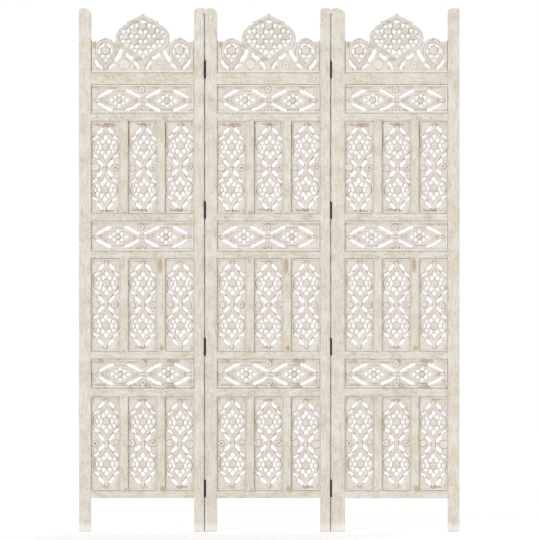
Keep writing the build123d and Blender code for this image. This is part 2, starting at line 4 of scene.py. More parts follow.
import bpy
import numpy as np
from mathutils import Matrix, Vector


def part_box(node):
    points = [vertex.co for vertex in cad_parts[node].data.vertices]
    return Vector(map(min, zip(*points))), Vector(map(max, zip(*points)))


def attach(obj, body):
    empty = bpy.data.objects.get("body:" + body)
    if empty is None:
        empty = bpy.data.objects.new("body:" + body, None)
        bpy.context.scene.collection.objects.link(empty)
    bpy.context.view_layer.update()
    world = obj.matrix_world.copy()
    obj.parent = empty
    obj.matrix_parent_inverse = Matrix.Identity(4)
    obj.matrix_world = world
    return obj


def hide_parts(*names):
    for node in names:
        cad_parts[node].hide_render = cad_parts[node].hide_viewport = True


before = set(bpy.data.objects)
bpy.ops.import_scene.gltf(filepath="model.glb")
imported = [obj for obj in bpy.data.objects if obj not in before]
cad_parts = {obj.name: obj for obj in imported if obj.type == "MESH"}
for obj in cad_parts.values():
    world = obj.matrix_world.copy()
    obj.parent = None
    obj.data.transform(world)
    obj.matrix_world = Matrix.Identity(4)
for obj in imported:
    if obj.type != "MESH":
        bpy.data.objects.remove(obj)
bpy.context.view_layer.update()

# ---- sizes, in millimetres unless a comment says otherwise ----
MM = 0.001
SIDES = ("left", "centre", "right")
ROWS = ("lower", "middle", "upper")
RAIL_NAMES = ("bottom_rail", "rail_6", "rail_5", "rail_4", "rail_3", "rail_2", "top_rail")
TENON = 15.0
TONGUE = 5.0
TONGUE_HALF = 3.0
SEAT_GAP = 0.4
SEAT_DEPTH = TONGUE + SEAT_GAP
LET_IN = 0.6
FRAME_HALF = 12.5
POST_HEIGHT = 1650.0
INSERT_WIDTH = 91.0
INSERT_PITCH = 116.75
OPENING_WIDTH = 3 * INSERT_WIDTH + 2 * (INSERT_PITCH - INSERT_WIDTH)
# The lips that close the gaps between the panels at the back.
LIP_REACH = 1.1
LIP_OVERLAP = 1.5
LIP_THICKNESS = 5.0
LIP_SETBACK = 0.3
LIP_TOP = POST_HEIGHT - 14.0
# The hinges' recesses. How deep their front is broken out is given for left (-1) and right (1) posts.
HINGE_CENTRES = (136, 583.3, 1014.7, 1458)
HINGE_HALF = 27.15
GAIN_DEPTH = 1.15
GAIN_FRONT = 4.0
GAIN_FRONT_DEPTHS = {-1: 3.4, 1: 0.0}
# Half the thickness of a carved board at its raised border and in its field.
BORDER_HALF = 8.5
FIELD_HALF = 6.3
# The posts' tops: where a left one is highest, how far it falls to its two sides, and a right one's two radii.
CROWN_PEAK, CROWN_FALLS = 15.0, (4.5, 15.0)
CORNER_RADII = (12.0, 4.0)
# The meshes: the boards' grid, how far from an outline its distance is known, the steps and rounding of a bar's
# section, how far its last stations are drawn in, and the angles in degrees that stay sharp.
GRID_PITCH = 1.1
FIELD_REACH = 9.0
ARC_STEPS, LONG_STEPS, SHORT_STEPS = 4, 5, 4
EDGE_RADIUS = 1.5
STATION_PITCH = 7.0
END_STATIONS, END_INSETS = (0.0, 0.35, 1.1), (1.0, 0.35, 0.0)
SHARP_CARVING, SHARP_BAR = 48, 50

# ---- the camera: the view's width at the screen's front, in metres, and its centre ----
VIEW_WIDTH = 1.7025
VIEW_CENTRE = (0.0025, 0.8247)
CAMERA_DISTANCE = 14.0
SENSOR_WIDTH = 36.0

# ---- light and floor: strengths, sizes in metres, and each sun's direction, width in degrees and power ----
AMBIENT = 0.62
SUNS = {"key": ((0.42, 0.86, -0.26), 14, 1.30), "back": ((-0.4, -0.7, -0.6), 40, 0.9)}
FLOOR_HALF = 9.0
FLOOR_DROP = 0.0005
FLOOR_GREY = 0.86
FLOOR_GLOW = 0.32
WHITE = (1, 1, 1, 1)


# ---- small helpers for shapes ----

def smooth(low, high, value):
    """0 at low and before it, 1 at high and beyond it, and an S curve between them."""
    t = np.clip((value - low) / (high - low), 0, 1)
    return t * t * (3 - 2 * t)


def ripple(u, v, size, seed):
    """A soft, wandering field between about -1 and 1, with bumps of the given size."""
    random = np.random.default_rng(seed)
    total = np.zeros(np.broadcast(u, v).shape)
    for _ in range(7):
        angle = random.uniform(0, math.tau)
        wave = math.tau / (size * random.uniform(0.7, 1.9))
        total += np.sin(wave * (u * math.cos(angle) + v * math.sin(angle)) + random.uniform(0, math.tau))
    return total / 3.0


def blend(a, b, share):
    """From a at share 0 to b at share 1."""
    return a * (1 - share) + b * share


def bell(value, middle, width):
    """1 at the middle, and next to nothing beyond twice the width from it."""
    return np.exp(-((value - middle) / width) ** 2)


def spline(p, steps):
    """The smooth line of Catmull and Rom through all points but the first and the last."""
    line = []
    for a, b, c, d in zip(p[:-3], p[1:-2], p[2:-1], p[3:]):
        for t in np.arange(steps) / steps:
            line.append(0.5 * (2 * b + (c - a) * t + (2 * a - 5 * b + 4 * c - d) * t**2
                               + (3 * b - a - 3 * c + d) * t**3))
    return np.array(line)


def curve_through(points):
    """A smooth line from the first point to the last."""
    p = np.array(points, float)
    p = np.vstack([2 * p[0] - p[1], p, 2 * p[-1] - p[-2]])
    return np.vstack([spline(p, 7), p[-2]])


def nearest_on(u, v, x0, z0, x1, z1):
    """The nearest point of a line from (x0, z0) to (x1, z1), and its distance."""
    dx, dz = x1 - x0, z1 - z0
    t = np.clip(((u - x0) * dx + (v - z0) * dz) / (dx * dx + dz * dz), 0, 1)
    px, pz = x0 + t * dx, z0 + t * dz
    return np.hypot(u - px, v - pz), px, pz


def path_distance(u, v, line):
    """Distance of each point from a line of points."""
    return np.minimum.reduce([nearest_on(u, v, *a, *b)[0] for a, b in zip(line[:-1], line[1:])])


# ---- meshes of the carved boards ----

def crest_outline():
    """The crest's outer outline about the middle of its foot, cut from its CAD node in front of its tongues."""
    node = "centre_panel_crest"
    centre = (node_centre(node)[0], crest_foot())
    level = -TONGUE_HALF - 1.0
    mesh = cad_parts[node].data
    mesh.calc_loop_triangles()
    places = np.array([vertex.co for vertex in mesh.vertices]) / MM
    neighbours = {}
    for triangle in mesh.loop_triangles:
        corners = places[list(triangle.vertices)]
        behind = corners[:, 1] > level
        ends = [a + (level - a[1]) / (b[1] - a[1]) * (b - a) for a in corners[~behind] for b in corners[behind]]
        ends = {tuple((end[[0, 2]] - centre).round(2)) for end in ends}
        for end in ends if len(ends) == 2 else ():
            neighbours.setdefault(end, []).extend(ends - {end})
    here, before = max(neighbours, key=lambda place: place[1]), None
    outline = []
    while here not in outline[:1]:
        outline.append(here)
        before, here = here, next(place for place in neighbours[here] if place != before)
    return np.array(outline)


def crest_foot():
    """The height of a crest's foot, where it stands on the top rail."""
    return node_box("centre_panel_crest")[0][2] + SEAT_DEPTH


def loop_lines(loops):
    """Closed loops of points as rows x0, z0, x1, z1."""
    return np.vstack([np.hstack([loop, np.roll(loop, -1, 0)]) for loop in loops])


def leaf_hole(corners, random, centre, place, flip, fuller, teeth=1.4, pitch=7.6):
    """A leaf's hole, cut by hand: its corners wander a little and its side away from a centre is toothed."""
    points = (np.array(corners) + random.normal(0, 0.4, (len(corners), 2))) * flip + place
    loop = spline(np.vstack([points[-1], points, points[:2]]), 5)
    along = np.roll(loop, -1, axis=0) - np.roll(loop, 1, axis=0)
    length = np.hypot(along[:, 0], along[:, 1])
    turn = np.sign(np.sum(loop[:, 0] * np.roll(loop[:, 1], -1) - np.roll(loop[:, 0], -1) * loop[:, 1]))
    outward = turn * np.stack([along[:, 1], -along[:, 0]], 1) / length[:, None]
    away = points.mean(0) - centre
    toothed = smooth(-0.1, 0.5, outward @ away / np.hypot(*away))
    phase = np.cumsum(length) / 2 * math.tau / pitch + random.uniform(0, math.tau)
    push = fuller + toothed * teeth * (0.3 + np.sin(phase) + 0.4 * np.sin(2 * phase))
    return loop + outward * push[:, None]


def drop_hole(centre, size, random, power=2.0):
    """A hole between the carved bars, a little irregular: an ellipse, or for a power under 2 nearly a diamond."""
    angle = np.arange(28) / 28 * math.tau
    along, across = np.cos(angle), np.sin(angle)
    reach = (np.abs(along) ** power + np.abs(across) ** power) ** (-1 / power)
    reach *= 1.02 + 0.06 * np.cos(3 * angle + random.uniform(0, math.tau))
    half = np.array(size) * random.normal(1.0, 0.04, 2)
    u0, v0 = np.array(centre) + random.normal(0, 0.4, 2)
    lean = random.normal(0, 0.08)
    u, v = half[0] * reach * along, half[1] * reach * across
    turn_u, turn_v = math.cos(lean), math.sin(lean)
    return np.stack([u0 + u * turn_u - v * turn_v, v0 + u * turn_v + v * turn_u], 1)


def worn_spots(u, v, rows, ragged, low, high):
    """How bare the most worn spot leaves each point. rows are (place, rise, half width, half height, share)."""
    worn = 0.0
    for u0, v0, half_u, half_v, share in rows:
        reach = np.hypot((u - u0) / half_u, (v - v0) / half_v) + ragged
        worn = np.maximum(worn, share * smooth(low, high, reach))
    return worn


def from_ends(low, high, rows):
    """Rows whose second value, the distance from the top or, below 0, from the foot, has become a height."""
    return [(u0, high - end if end > 0 else low - end, *rest) for u0, end, *rest in rows]


def blurred(values, steps):
    """Values averaged with their neighbours over a square of grid points."""
    for axis in (0, 1):
        total = np.zeros_like(values)
        for step in range(-steps, steps + 1):
            total += np.roll(values, step, axis)
        values = total / (2 * steps + 1)
    return values


def outline_field(us, vs, lines, board):
    """For each grid point: distance into the wood (negative outside), and the nearest point of the outline. board
    says whether the wood fills the grid's edge, so that the lines are only those of holes."""
    u, v = np.meshgrid(us, vs)
    near = np.full(u.shape, FIELD_REACH)
    near_u, near_v = u.copy(), v.copy()
    inside = np.full(u.shape, board)
    for x0, z0, x1, z1 in lines:
        i0, i1 = np.searchsorted(us, (min(x0, x1) - FIELD_REACH, max(x0, x1) + FIELD_REACH))
        j0, j1 = np.searchsorted(vs, (min(z0, z1) - FIELD_REACH, max(z0, z1) + FIELD_REACH))
        window = (slice(j0, j1), slice(i0, i1))
        found = nearest_on(u[window], v[window], x0, z0, x1, z1)
        closer = found[0] < near[window]
        for best, value in zip((near, near_u, near_v), found):
            best[window] = np.where(closer, value, best[window])
        j0, j1 = np.searchsorted(vs, (min(z0, z1), max(z0, z1)))
        if j1 > j0:
            crossing = x0 + (vs[j0:j1] - z0) * (x1 - x0) / (z1 - z0)
            inside[j0:j1] ^= us[None, :] < crossing[:, None]
    return np.where(inside, near, -near), near_u, near_v


def grid_lines(low, high):
    """Evenly spaced grid lines that start and end on the board's edges."""
    return np.linspace(low, high, int(round((high - low) / GRID_PITCH)) + 1)


def edge_distances(u, v, low, high):
    """Distances from a board's left, right, lower and upper edge."""
    return u - low[0], high[0] - u, v - low[1], high[1] - v


def grid_faces(keep):
    """Squares between a grid's kept points, triangles where a corner lacks, and the lines along their edge."""
    numbers = np.full(keep.shape, -1)
    numbers[keep] = np.arange(keep.sum())
    corners = np.stack([numbers[:-1, :-1], numbers[:-1, 1:], numbers[1:, 1:], numbers[1:, :-1]], 2).reshape(-1, 4)
    kept = (corners >= 0).sum(1)
    quads, cut = corners[kept == 4], corners[kept == 3]
    lacking = (cut < 0).argmax(1)
    rows = np.arange(len(cut))
    tris = np.stack([cut[rows, (lacking + step) % 4] for step in (1, 2, 3)], 1)
    pairs = np.vstack([quads[:, [i, (i + 1) % 4]] for i in range(4)] + [tris[:, [i, (i + 1) % 3]] for i in range(3)])
    keys = pairs.min(1).astype(np.int64) * keep.sum() + pairs.max(1)
    _, first, times = np.unique(keys, return_index=True, return_counts=True)
    return quads, tris, pairs[first[times == 1]]


def finished_mesh(name, places, faces, sharp, **marks):
    """A smooth mesh from places in millimetres. marks are numbers per point for the materials."""
    mesh = bpy.data.meshes.new(name)
    mesh.from_pydata((places * MM).tolist(), [], faces)
    for key, values in marks.items():
        mesh.attributes.new(key, "FLOAT", "POINT").data.foreach_set("value", np.asarray(values, np.float32))
    mesh.polygons.foreach_set("use_smooth", np.ones(len(mesh.polygons), bool))
    mesh.set_sharp_from_angle(angle=math.radians(sharp))
    return mesh


def carved_mesh(name, loops, board, seed, tongue_top, solid=True):
    """A board pierced along closed loops, the same on both faces. board is its low and high corner and functions:
    relief(u, v, depth) for the half thickness, bare(u, v) for how much bare wood shows, and tint(u, v) for how much
    darker (or, below 0, lighter) the paint is. solid is false where the loops hold the outer outline as well."""
    low, high, relief, bare, tint = board
    us, vs = grid_lines(low[0], high[0]), grid_lines(low[1], high[1])
    field, near_u, near_v = outline_field(us, vs, loop_lines(loops), solid)
    u, v = np.meshgrid(us, vs)
    close = np.abs(field) < 0.5 * GRID_PITCH
    keep = (field > 0) | close
    u, v = np.where(close, near_u, u), np.where(close, near_v, v)
    depth = np.where(close, 0.0, np.maximum(field, 0.0))
    edge = np.minimum.reduce(edge_distances(u, v, low, high))
    half = relief(u, v, depth) - 0.85 * smooth(1.5, 0, depth) - 0.7 * smooth(1.3, 0, edge)
    half += 0.08 * ripple(u, v, 7, seed + 1)
    shift_u, shift_v = (0.38 * ripple(u, v, 26, seed + step) * smooth(0, 6, edge) for step in (2, 3))
    front = np.stack([(u + shift_u)[keep], -half[keep], (v + shift_v)[keep]], 1)
    count = len(front)
    boxes, box_faces = tongue_boxes(low, high, 2 * count, tongue_top)
    quads, tris, ends = grid_faces(keep)
    walls = np.stack([ends[:, 1], ends[:, 0], ends[:, 0] + count, ends[:, 1] + count], 1)
    faces = quads.tolist() + tris.tolist() + walls.tolist()
    faces += (quads[:, ::-1] + count).tolist() + (tris[:, ::-1] + count).tolist() + box_faces
    # Painted shade: points lower than their neighbours (cavity) are darkened, partly as a wash that has collected
    # there. So is the wood along the holes' edges, most on the side turned away from the key light (shaded).
    around = blurred(half * keep, 2) / np.maximum(blurred(1.0 * keep, 2), 0.05)
    cavity = smooth(0.05, 0.75, around - half) * smooth(0.4, 1.8, depth)
    shaded = smooth(0.1, 0.9, (near_u - u - 0.3 * (near_v - v)) / np.maximum(np.abs(field), 0.1)) * (field > 0)
    painted_shade_and_wash = np.clip(0.9 * cavity + smooth(2.2, 0.6, depth) * (0.14 + 0.4 * shaded), 0, 1)

    def both_faces(values, at_tongues):
        return np.append(np.tile(values[keep], 2), np.full(len(boxes), at_tongues))

    # The tongues in the grooves get a fixed 0.4 of the darkening mark, which is painted shade for the gaps round the
    # board, and they show bare wood.
    return finished_mesh(name, np.vstack([front, front * (1, -1, 1), boxes]), faces, SHARP_CARVING,
                         grime=both_faces(painted_shade_and_wash, 0.4), tint=both_faces(tint(u, v), 0.0),
                         bare=both_faces(bare(u, v), 1.0))


def tongue_boxes(low, high, start, top):
    """The tongues round a board, as thin boxes in the frame's grooves. top is how high they reach."""
    overlap = 1.0
    spans = [
        (low[0] - TONGUE, low[0] + overlap, low[1] - TONGUE, top),
        (high[0] - overlap, high[0] + TONGUE, low[1] - TONGUE, top),
        (low[0], high[0], low[1] - TONGUE, low[1] + overlap),
    ]
    if top > high[1]:
        spans.append((low[0], high[0], high[1] - overlap, top))
    places, faces = [], []
    for u0, u1, v0, v1 in spans:
        base = start + len(places)
        for y in (-TONGUE_HALF, TONGUE_HALF):
            places += [(u0, y, v0), (u1, y, v0), (u1, y, v1), (u0, y, v1)]
        for face in ((0, 1, 2, 3), (7, 6, 5, 4), (1, 0, 4, 5), (2, 1, 5, 6), (3, 2, 6, 7), (0, 3, 7, 4)):
            faces.append([base + n for n in face])
    return np.array(places), faces


# ---- relief of the carved boards: half thicknesses over the board ----

def board_corners(width, height, gaps):
    """A board's low and high corner about its opening's middle: it has shrunk, so that dark gaps show round it."""
    left, right, bottom, top = gaps
    seat = height / 2 + SEAT_GAP
    return (left - width / 2, bottom - seat), (width / 2 - right, seat - top)


def raised(half, body, beyond, rim, cut, cut_at, cut_width):
    """A relief with a raised form on it and a fine cut round that. beyond is the distance outside the form."""
    return blend(half - cut * bell(beyond, cut_at, cut_width), body, smooth(*rim, beyond))


def vine_relief(half, distance, width=4.1, groove=0.3, side_cut=0.75):
    """A raised stem along a line: two ridges with a groove between them and a fine cut at each side."""
    body = BORDER_HALF - 0.5 - groove * bell(distance, 0, 0.9) - 0.9 * smooth(width - 1.6, width, distance)
    return raised(half, body, distance - width, (0.3, -0.4), side_cut, 0.7, 0.8)


def rosette_relief(half, u, v, centre, radius, petals, turn, carve):
    """A flower: a shallow dimple in a disc, a ring round it, and petals with a scalloped rim."""
    du, dv = u - centre[0], v - centre[1]
    r = np.hypot(du, dv)
    wave = np.abs(np.cos(0.5 * petals * (np.arctan2(dv, du) + turn)))
    notches = (1 - wave**0.5) * smooth(0.76, 1.0, r / radius)
    dimple = smooth(0.2 * radius, 0, r)
    body = 8.1 - carve * (0.4 * bell(r, 0.54 * radius, 0.9) + 0.4 * notches + 0.6 * dimple)
    return raised(half, body, r - radius * (0.94 + 0.06 * wave), (0.35, -0.3), carve, 0.8, 0.8)


def button_relief(half, u, v, centre, radius, dimple, cut=0.3):
    """A round button with a dimple of a given depth, or for 0 a flat disc with fine rings, and a cut round it."""
    r = np.hypot(u - centre[0], v - centre[1])
    if dimple:
        body = 7.4 + bell(r, 0.68 * radius, 0.26 * radius) - dimple * smooth(0.54 * radius, 0.18 * radius, r)
    else:
        body = 8.1 - 0.45 * bell(r, 0.62 * radius, 0.5) - 0.5 * bell(r, 0.3 * radius, 0.6)
        body -= 0.8 * smooth(0.2 * radius, 0, r)
    return raised(half, body, r - radius, (0.2, -0.5), cut, 0.6, 0.6)


def veins(u, v, depth, centre, count):
    """Carved strokes that fan out round a leaf's hole and fade away from it."""
    angle = np.arctan2(v - centre[1], u - centre[0])
    return 0.55 * np.cos(count * angle) * smooth(0.3, 1.4, depth) * smooth(7.0, 3.5, depth)


def carved_tint(low, high, widths, darker, lighter, share):
    """A board's paint: a share darker on flowers, and rubbed pale on buttons and rim. Both begin (u, v, radius)."""
    def tint(u, v):
        total = np.zeros(u.shape)
        for edge, width in zip(edge_distances(u, v, low, high), widths):
            total = np.minimum(total, -0.8 * smooth(width + 0.4, width - 2.8, edge))
        for rows, amount in ((darker, share), (lighter, -0.6)):
            for place_u, place_v, radius, *_ in rows:
                total += amount * smooth(radius + 0.5, radius - 1.5, np.hypot(u - place_u, v - place_v))
        return np.clip(total, -1, 1)
    return tint


def border_relief(half, u, v, low, high, widths):
    """The raised rim of a board. widths are those at the left, right, bottom and top."""
    for edge, width in zip(edge_distances(u, v, low, high), widths):
        half = blend(half, BORDER_HALF - 0.5 * smooth(1.2, 0, edge), smooth(width + 2.0, width - 2.6, edge))
    return half


def off_centre(u, v, first, centres):
    """Distances along and across from two centres: from the first one where first is true, else from the other."""
    (u0, v0), (u1, v1) = centres
    return np.abs(u - np.where(first, u0, u1)), np.abs(v - np.where(first, v0, v1))


INSERT_VINE = [
    (1.6, 67), (2, 59), (4.4, 50.5), (9, 43), (14.5, 35.8), (20.5, 28.6), (27, 21), (33, 12.6), (36.6, 4.5),
    (37.4, 0),
]
LONG_LEAF = [
    (7, 58), (9.5, 61), (15, 59.6), (17.6, 54.8), (22.4, 52.6), (24.4, 47), (25, 42.6), (22, 40.6), (17, 43.4),
    (11.4, 48.8), (7.8, 54.4),
]
SHORT_LEAF = [
    (23.6, 32), (24.6, 35), (29.4, 34.4), (31.2, 30.6), (36, 30), (38.2, 25.4), (35.6, 22.6), (30, 25.6),
    (26.2, 28.4),
]
NET_HOLES = [
    ((0, 29.2), (6.6, 8.6), 1.4), ((9.8, 17.6), (5.9, 6.8), 1.8), ((23.6, 13.6), (5, 5.8), 1.6),
    ((18.2, 0), (4.8, 8.4), 1.8), ((30.4, 0), (3.1, 7.6), 1.7), ((9.8, -17.8), (5.9, 7), 1.8),
    ((23.8, -13.6), (5, 5.7), 1.6), ((0, -29.8), (7, 8.2), 1.4),
]
INSERT_RIM = (3, 3.4, 4.6, 4.6)
ROSETTE_RADIUS = 11.2
# How wide the net's holes are cut in each row.
OPENNESS = {"lower": 0.94, "middle": 0.98, "upper": 0.98}
# The nine upright boards of a panel, by row from the bottom: the gaps round the board, how far its upper and lower
# medallion are off their places, its buttons (place, rise, radius, dimple), and its worn patches (place, distance
# from the top or, below 0, from the foot, half width, half height, share).
INSERT_STYLES = {
    "lower": (
        ((0.4, 0.3, 0.2, 0.5), ((2.2, 1.9), (2.7, 4.4)), ((-32.7, 0.6, 9.4, 2.4), (33.2, 4, 8.2, 0.5)),
         ((-5, 8, 18, 2.4, 0.5), (-2, -11, 21, 2.6, 0.8), (-34, -88, 4, 26, 0.7))),
        ((0.4, 0.2, 0.2, 0.5), ((0.9, 1), (-0.2, 2.9)), ((-33.4, 1.8, 10.6, 0.9), (32.7, 1.4, 9.8, 1.4)),
         ((-2, 10, 28, 3.2, 0.7), (12, -10, 13, 2.4, 0.6), (35, 40, 4, 24, 0.6))),
        ((0.4, 0.2, 0.2, 0.5), ((0.7, -2.2), (-0.4, -1.1)), ((-32, 1.2, 10.4, 0), (33.2, -2.2, 12.6, 0)),
         ((10, 9, 30, 3.2, 0.75), (7, -11, 24, 4, 1))),
    ),
    "middle": (
        ((0.4, 0.2, 0.2, 0.6), ((2.5, 1.2), (0.2, 2.1)), ((-29, 0.2, 9.6, 0.6), (29.2, 2, 10.2, 1.5)),
         ((2, 10, 20, 2.4, 0.6), (-13, -12, 17, 2.4, 0.5))),
        ((0.2, 0.2, 0.2, 0.5), ((0.9, 0), (0.3, 1.3)), ((-31, -0.6, 8.4, 0.4), (33.6, 1.4, 9.2, 0.9)),
         ((-5, 9, 28, 2.2, 0.7), (-5, -12, 28, 3, 0.8))),
        ((0.3, 0.2, 0.2, 0.5), ((3.2, 0), (2.4, 1.9)), ((-29, 2, 8.6, 0), (27.8, -0.6, 9.6, 0.9)),
         ((-7, 11, 22, 2.2, 0.6), (20, -19, 6, 6, 0.5))),
    ),
    "upper": (
        ((0.4, 0.2, 0.2, 0.2), ((-0.6, -2.9), (-3.1, -3.6)), ((-31.8, 0.4, 12.2, 0), (31.4, -1.6, 9.8, 2.4)),
         ((-25, 11, 12, 5.4, 1), (12, 12, 21, 8.4, 1.2), (5, -8, 32, 4, 1.2), (-35, -60, 4, 30, 0.6))),
        ((0.4, 0.2, 0.2, 0.2), ((3.4, -3.8), (3.4, -3.3)), ((-31.8, -3, 10.4, 0.9), (32.6, -1.4, 9.4, 1.6)),
         ((-2, 10, 25, 5.4, 1.1), (-5, -11, 32, 6, 0.9), (-44, 45, 4, 48, 1.1))),
        ((0.3, 0.2, 0.2, 0.2), ((2.6, 1), (0.5, 1.2)), ((-33, -1, 8.8, 0.5), (30.8, 3.2, 9.4, 2)),
         ((9, 10, 20, 4.6, 0.6), (-6, -10, 34, 5, 1.1), (-44, 45, 4, 48, 0.9))),
    ),
}


def insert_loops(centres, openness, random):
    """The holes of an upright board, about its two medallions' centres. openness scales the net's holes."""
    loops = []
    for centre in centres:
        for hole, size, power in NET_HOLES:
            size = [openness * value for value in size]
            for side in (-1, 1) if hole[0] else (1,):
                loops.append(drop_hole((centre[0] + side * hole[0], centre[1] + hole[1]), size, random, power))
        for side in (-1, 1):
            for end in (-1, 1):
                for corners in (LONG_LEAF, SHORT_LEAF):
                    loops.append(leaf_hole(corners, random, centre, centre, (side, end), 0.5 + 6.0 * (openness - 1)))
    return loops


def insert_board(height, centres, gaps, buttons, patches, turn, seed):
    """An upright board for carved_mesh: two medallions with a rosette each, and two buttons between them."""
    low, high = board_corners(INSERT_WIDTH, height, gaps)
    vine = curve_through(INSERT_VINE)

    def relief(u, v, depth):
        s, t = off_centre(u, v, v > 0, centres)
        inner = s < np.interp(t, vine[::-1, 1], vine[::-1, 0])
        net = FIELD_HALF + 1.2 * smooth(0.2, 1.9, depth)
        leaves = FIELD_HALF - 0.3 + veins(s, t, depth, (13.0, 50.0), 13) + veins(s, t, depth, (28.0, 29.0), 11)
        half = vine_relief(np.where(inner, net, leaves), path_distance(s, t, vine))
        for number, centre in enumerate(centres):
            half = rosette_relief(half, u, v, centre, ROSETTE_RADIUS, 10, turn + number, 1.1)
        for place, rise, radius, dimple in buttons:
            half = button_relief(half, u, v, (place, rise), radius, dimple)
        return border_relief(half, u, v, low, high, INSERT_RIM)

    def bare(u, v):
        rows = from_ends(-height / 2, height / 2, patches)
        spots = worn_spots(u, v, rows, 0.28 * ripple(u, v, 11, seed + 4), 1.35, 0.35)
        flank = smooth(33, 37, np.abs(u)) * smooth(42, 40, np.abs(u)) * smooth(0.1, 0.8, ripple(u, v, 42, seed + 8))
        return np.maximum.reduce([0.3 * smooth(0.2, 1.2, ripple(u, v, 30, seed)), 1.05 * spots, 0.6 * flank])

    flowers = [(*centre, ROSETTE_RADIUS) for centre in centres]
    return low, high, relief, bare, carved_tint(low, high, INSERT_RIM, flowers, buttons, 0.7)


BAND_VINE = [(72, 0.6), (66, 2.6), (58, 6.4), (48, 11), (38, 15.2), (28, 18.8), (16, 22.2), (0, 24.6)]
BAND_LEAF = [
    (21, 29.6), (23, 33.4), (31, 32), (38.6, 29.6), (41, 26), (46.5, 24.4), (49.4, 21.4), (55, 20), (60.5, 15.6),
    (67, 11.4), (65.6, 8.2), (56, 11.6), (47, 16.2), (38.6, 20.6), (30, 23.6), (24.6, 26),
]
BAND_PETALS = [
    ((0.4, 16.8), (5.2, 5.2)), ((12.6, 9.4), (4.8, 5.6)), ((12.6, -9), (5, 5.4)), ((0, -17), (5.4, 5)),
    ((-12.6, -9.2), (4.8, 5.6)), ((-12.6, 9.4), (4.8, 5.4)), ((25.4, 0.2), (6.2, 5.6)), ((-25.4, 0.2), (6.2, 5.6)),
]
BAND_RIM = (3, 6.4, 7, 5.6)
BAND_FLOWER_RADIUS = 8.6
BAND_RING_RADIUS = 10.2
BAND_GAPS = (0.6, 0.5, 0.4, 0.2)
# The long boards by row from the bottom: their medallions' centres, their rings' places and how stained they are.
BAND_STYLES = {
    "lower": (((-71.6, -2.2), (80, -2.2)), ((-0.1, 31), (1.1, -29.8)), 0.75),
    "middle": (((-78.7, -2.3), (73.1, -2.2)), ((-4.9, 28.5), (-0.2, -31.8)), 0.3),
    "upper": (((-74.9, -4), (76.2, -5.3)), ((-2.8, 29.5), (-0.7, -33.6)), 0.25),
}


def band_loops(centres, random):
    """The holes of a long board, about its two medallions' centres."""
    loops = []
    for centre in centres:
        for place, size in BAND_PETALS:
            loops.append(drop_hole((centre[0] + place[0], centre[1] + place[1]), size, random))
        for across in (-1, 1):
            for end in (-1, 1):
                loops.append(leaf_hole(BAND_LEAF, random, centre, centre, (across, end), 1.2, 2.0, 9.4))
    return loops


def band_board(height, centres, rings, stain, seed):
    """A long board for carved_mesh: two lens-shaped medallions with a flower each, and two rings between them."""
    low, high = board_corners(OPENING_WIDTH, height, BAND_GAPS)
    vine = curve_through(BAND_VINE)
    crossing = np.mean(centres, 0)

    def relief(u, v, depth):
        s, t = off_centre(u, v, u <= crossing[0], centres)
        inner = t < np.interp(s, vine[::-1, 0], vine[::-1, 1])
        lens = FIELD_HALF + 0.7 * smooth(0.2, 1.9, depth) + 0.4 * np.cos(0.9 * t) * smooth(30, 36, s)
        strokes = 0.5 * np.cos(0.85 * (s + t)) * smooth(0.3, 1.4, depth) * smooth(6, 3, depth)
        apart = np.hypot(u - crossing[0], v - crossing[1])
        half = vine_relief(np.where(inner, lens, FIELD_HALF - 0.3 + strokes), path_distance(s, t, vine), 3.8, 0.2,
                           0.4 * smooth(6.0, 14.0, apart))
        half = blend(half, BORDER_HALF - 0.6, smooth(5.5, 2.5, apart))
        for centre in centres:
            half = rosette_relief(half, u, v, centre, BAND_FLOWER_RADIUS, 8, 0.0, 1.3)
        for centre in rings:
            half = button_relief(half, u, v, centre, BAND_RING_RADIUS, 1.5, 0.2)
        return border_relief(half, u, v, low, high, BAND_RIM)

    def bare(u, v):
        end = height / 2 - np.abs(v)
        patch = smooth(19, 9, end + 1.6 * ripple(u, v, 16, seed)) * smooth(4.4, 8.4, end)
        patch *= 0.35 + 0.65 * smooth(-0.3, 1.1, ripple(u, v * 0.3, 60, seed + 5) + 0.35 * smooth(60, 20, np.abs(u)))
        s, t = off_centre(u, v, u <= crossing[0], centres)
        tips = smooth(11, 5, t) * smooth(34, 42, s) * smooth(68, 56, s)
        edge = np.minimum(end, OPENING_WIDTH / 2 - np.abs(u))
        stained = smooth(30, 8, edge) * smooth(-0.5, 0.9, ripple(u, v, 34, seed + 9))
        return np.clip(np.maximum(0.75 * patch + 0.45 * tips, stain * stained), 0, 1)

    flowers = [(*centre, BAND_FLOWER_RADIUS) for centre in centres]
    discs = [(*centre, BAND_RING_RADIUS) for centre in rings]
    return low, high, relief, bare, carved_tint(low, high, BAND_RIM, flowers, discs, 0.4)


CREST_CENTRE = (0, 116.5)
CREST_FLOWERS = [
    (column * 27.2, CREST_CENTRE[1] + row * 16, 12)
    for column in (-2, -1, 0, 1, 2) for row in range(abs(column) - 2, 3 - abs(column), 2)
]
CREST_NET = [
    ((0, 161.5), (9, 4)), ((20, 149.5), (5, 5.8)), ((34.5, 146.5), (4.2, 4.8)), ((45.5, 133), (3.8, 6.2)),
    ((61.5, 130), (5, 4.4)), ((8.2, 131), (4.8, 6.2)), ((36, 116.5), (5.2, 5)), ((19.5, 115), (5.2, 5.6)),
    ((68, 115), (2.8, 5.4)), ((45.5, 99.5), (4.4, 4.8)), ((61.5, 99.8), (5.2, 4.8)), ((8.2, 100), (4.8, 5)),
    ((52, 87.5), (5, 3.6)), ((35, 84), (5.6, 6)), ((17.5, 83), (5, 5)), ((24.5, 70.5), (4.4, 4.4)),
    ((8.8, 66.5), (5.4, 6.6)), ((0, 53), (3.8, 4.6)),
]
CREST_RING = [
    ((-17.8, -1), (3.8, 8.2)), ((22, -1.5), (4.2, 8.2)), ((11.8, -17.5), (6.2, 4.2)), ((-7, -17.5), (6.4, 4.8)),
    ((1.8, -31), (4.2, 4.8)),
]
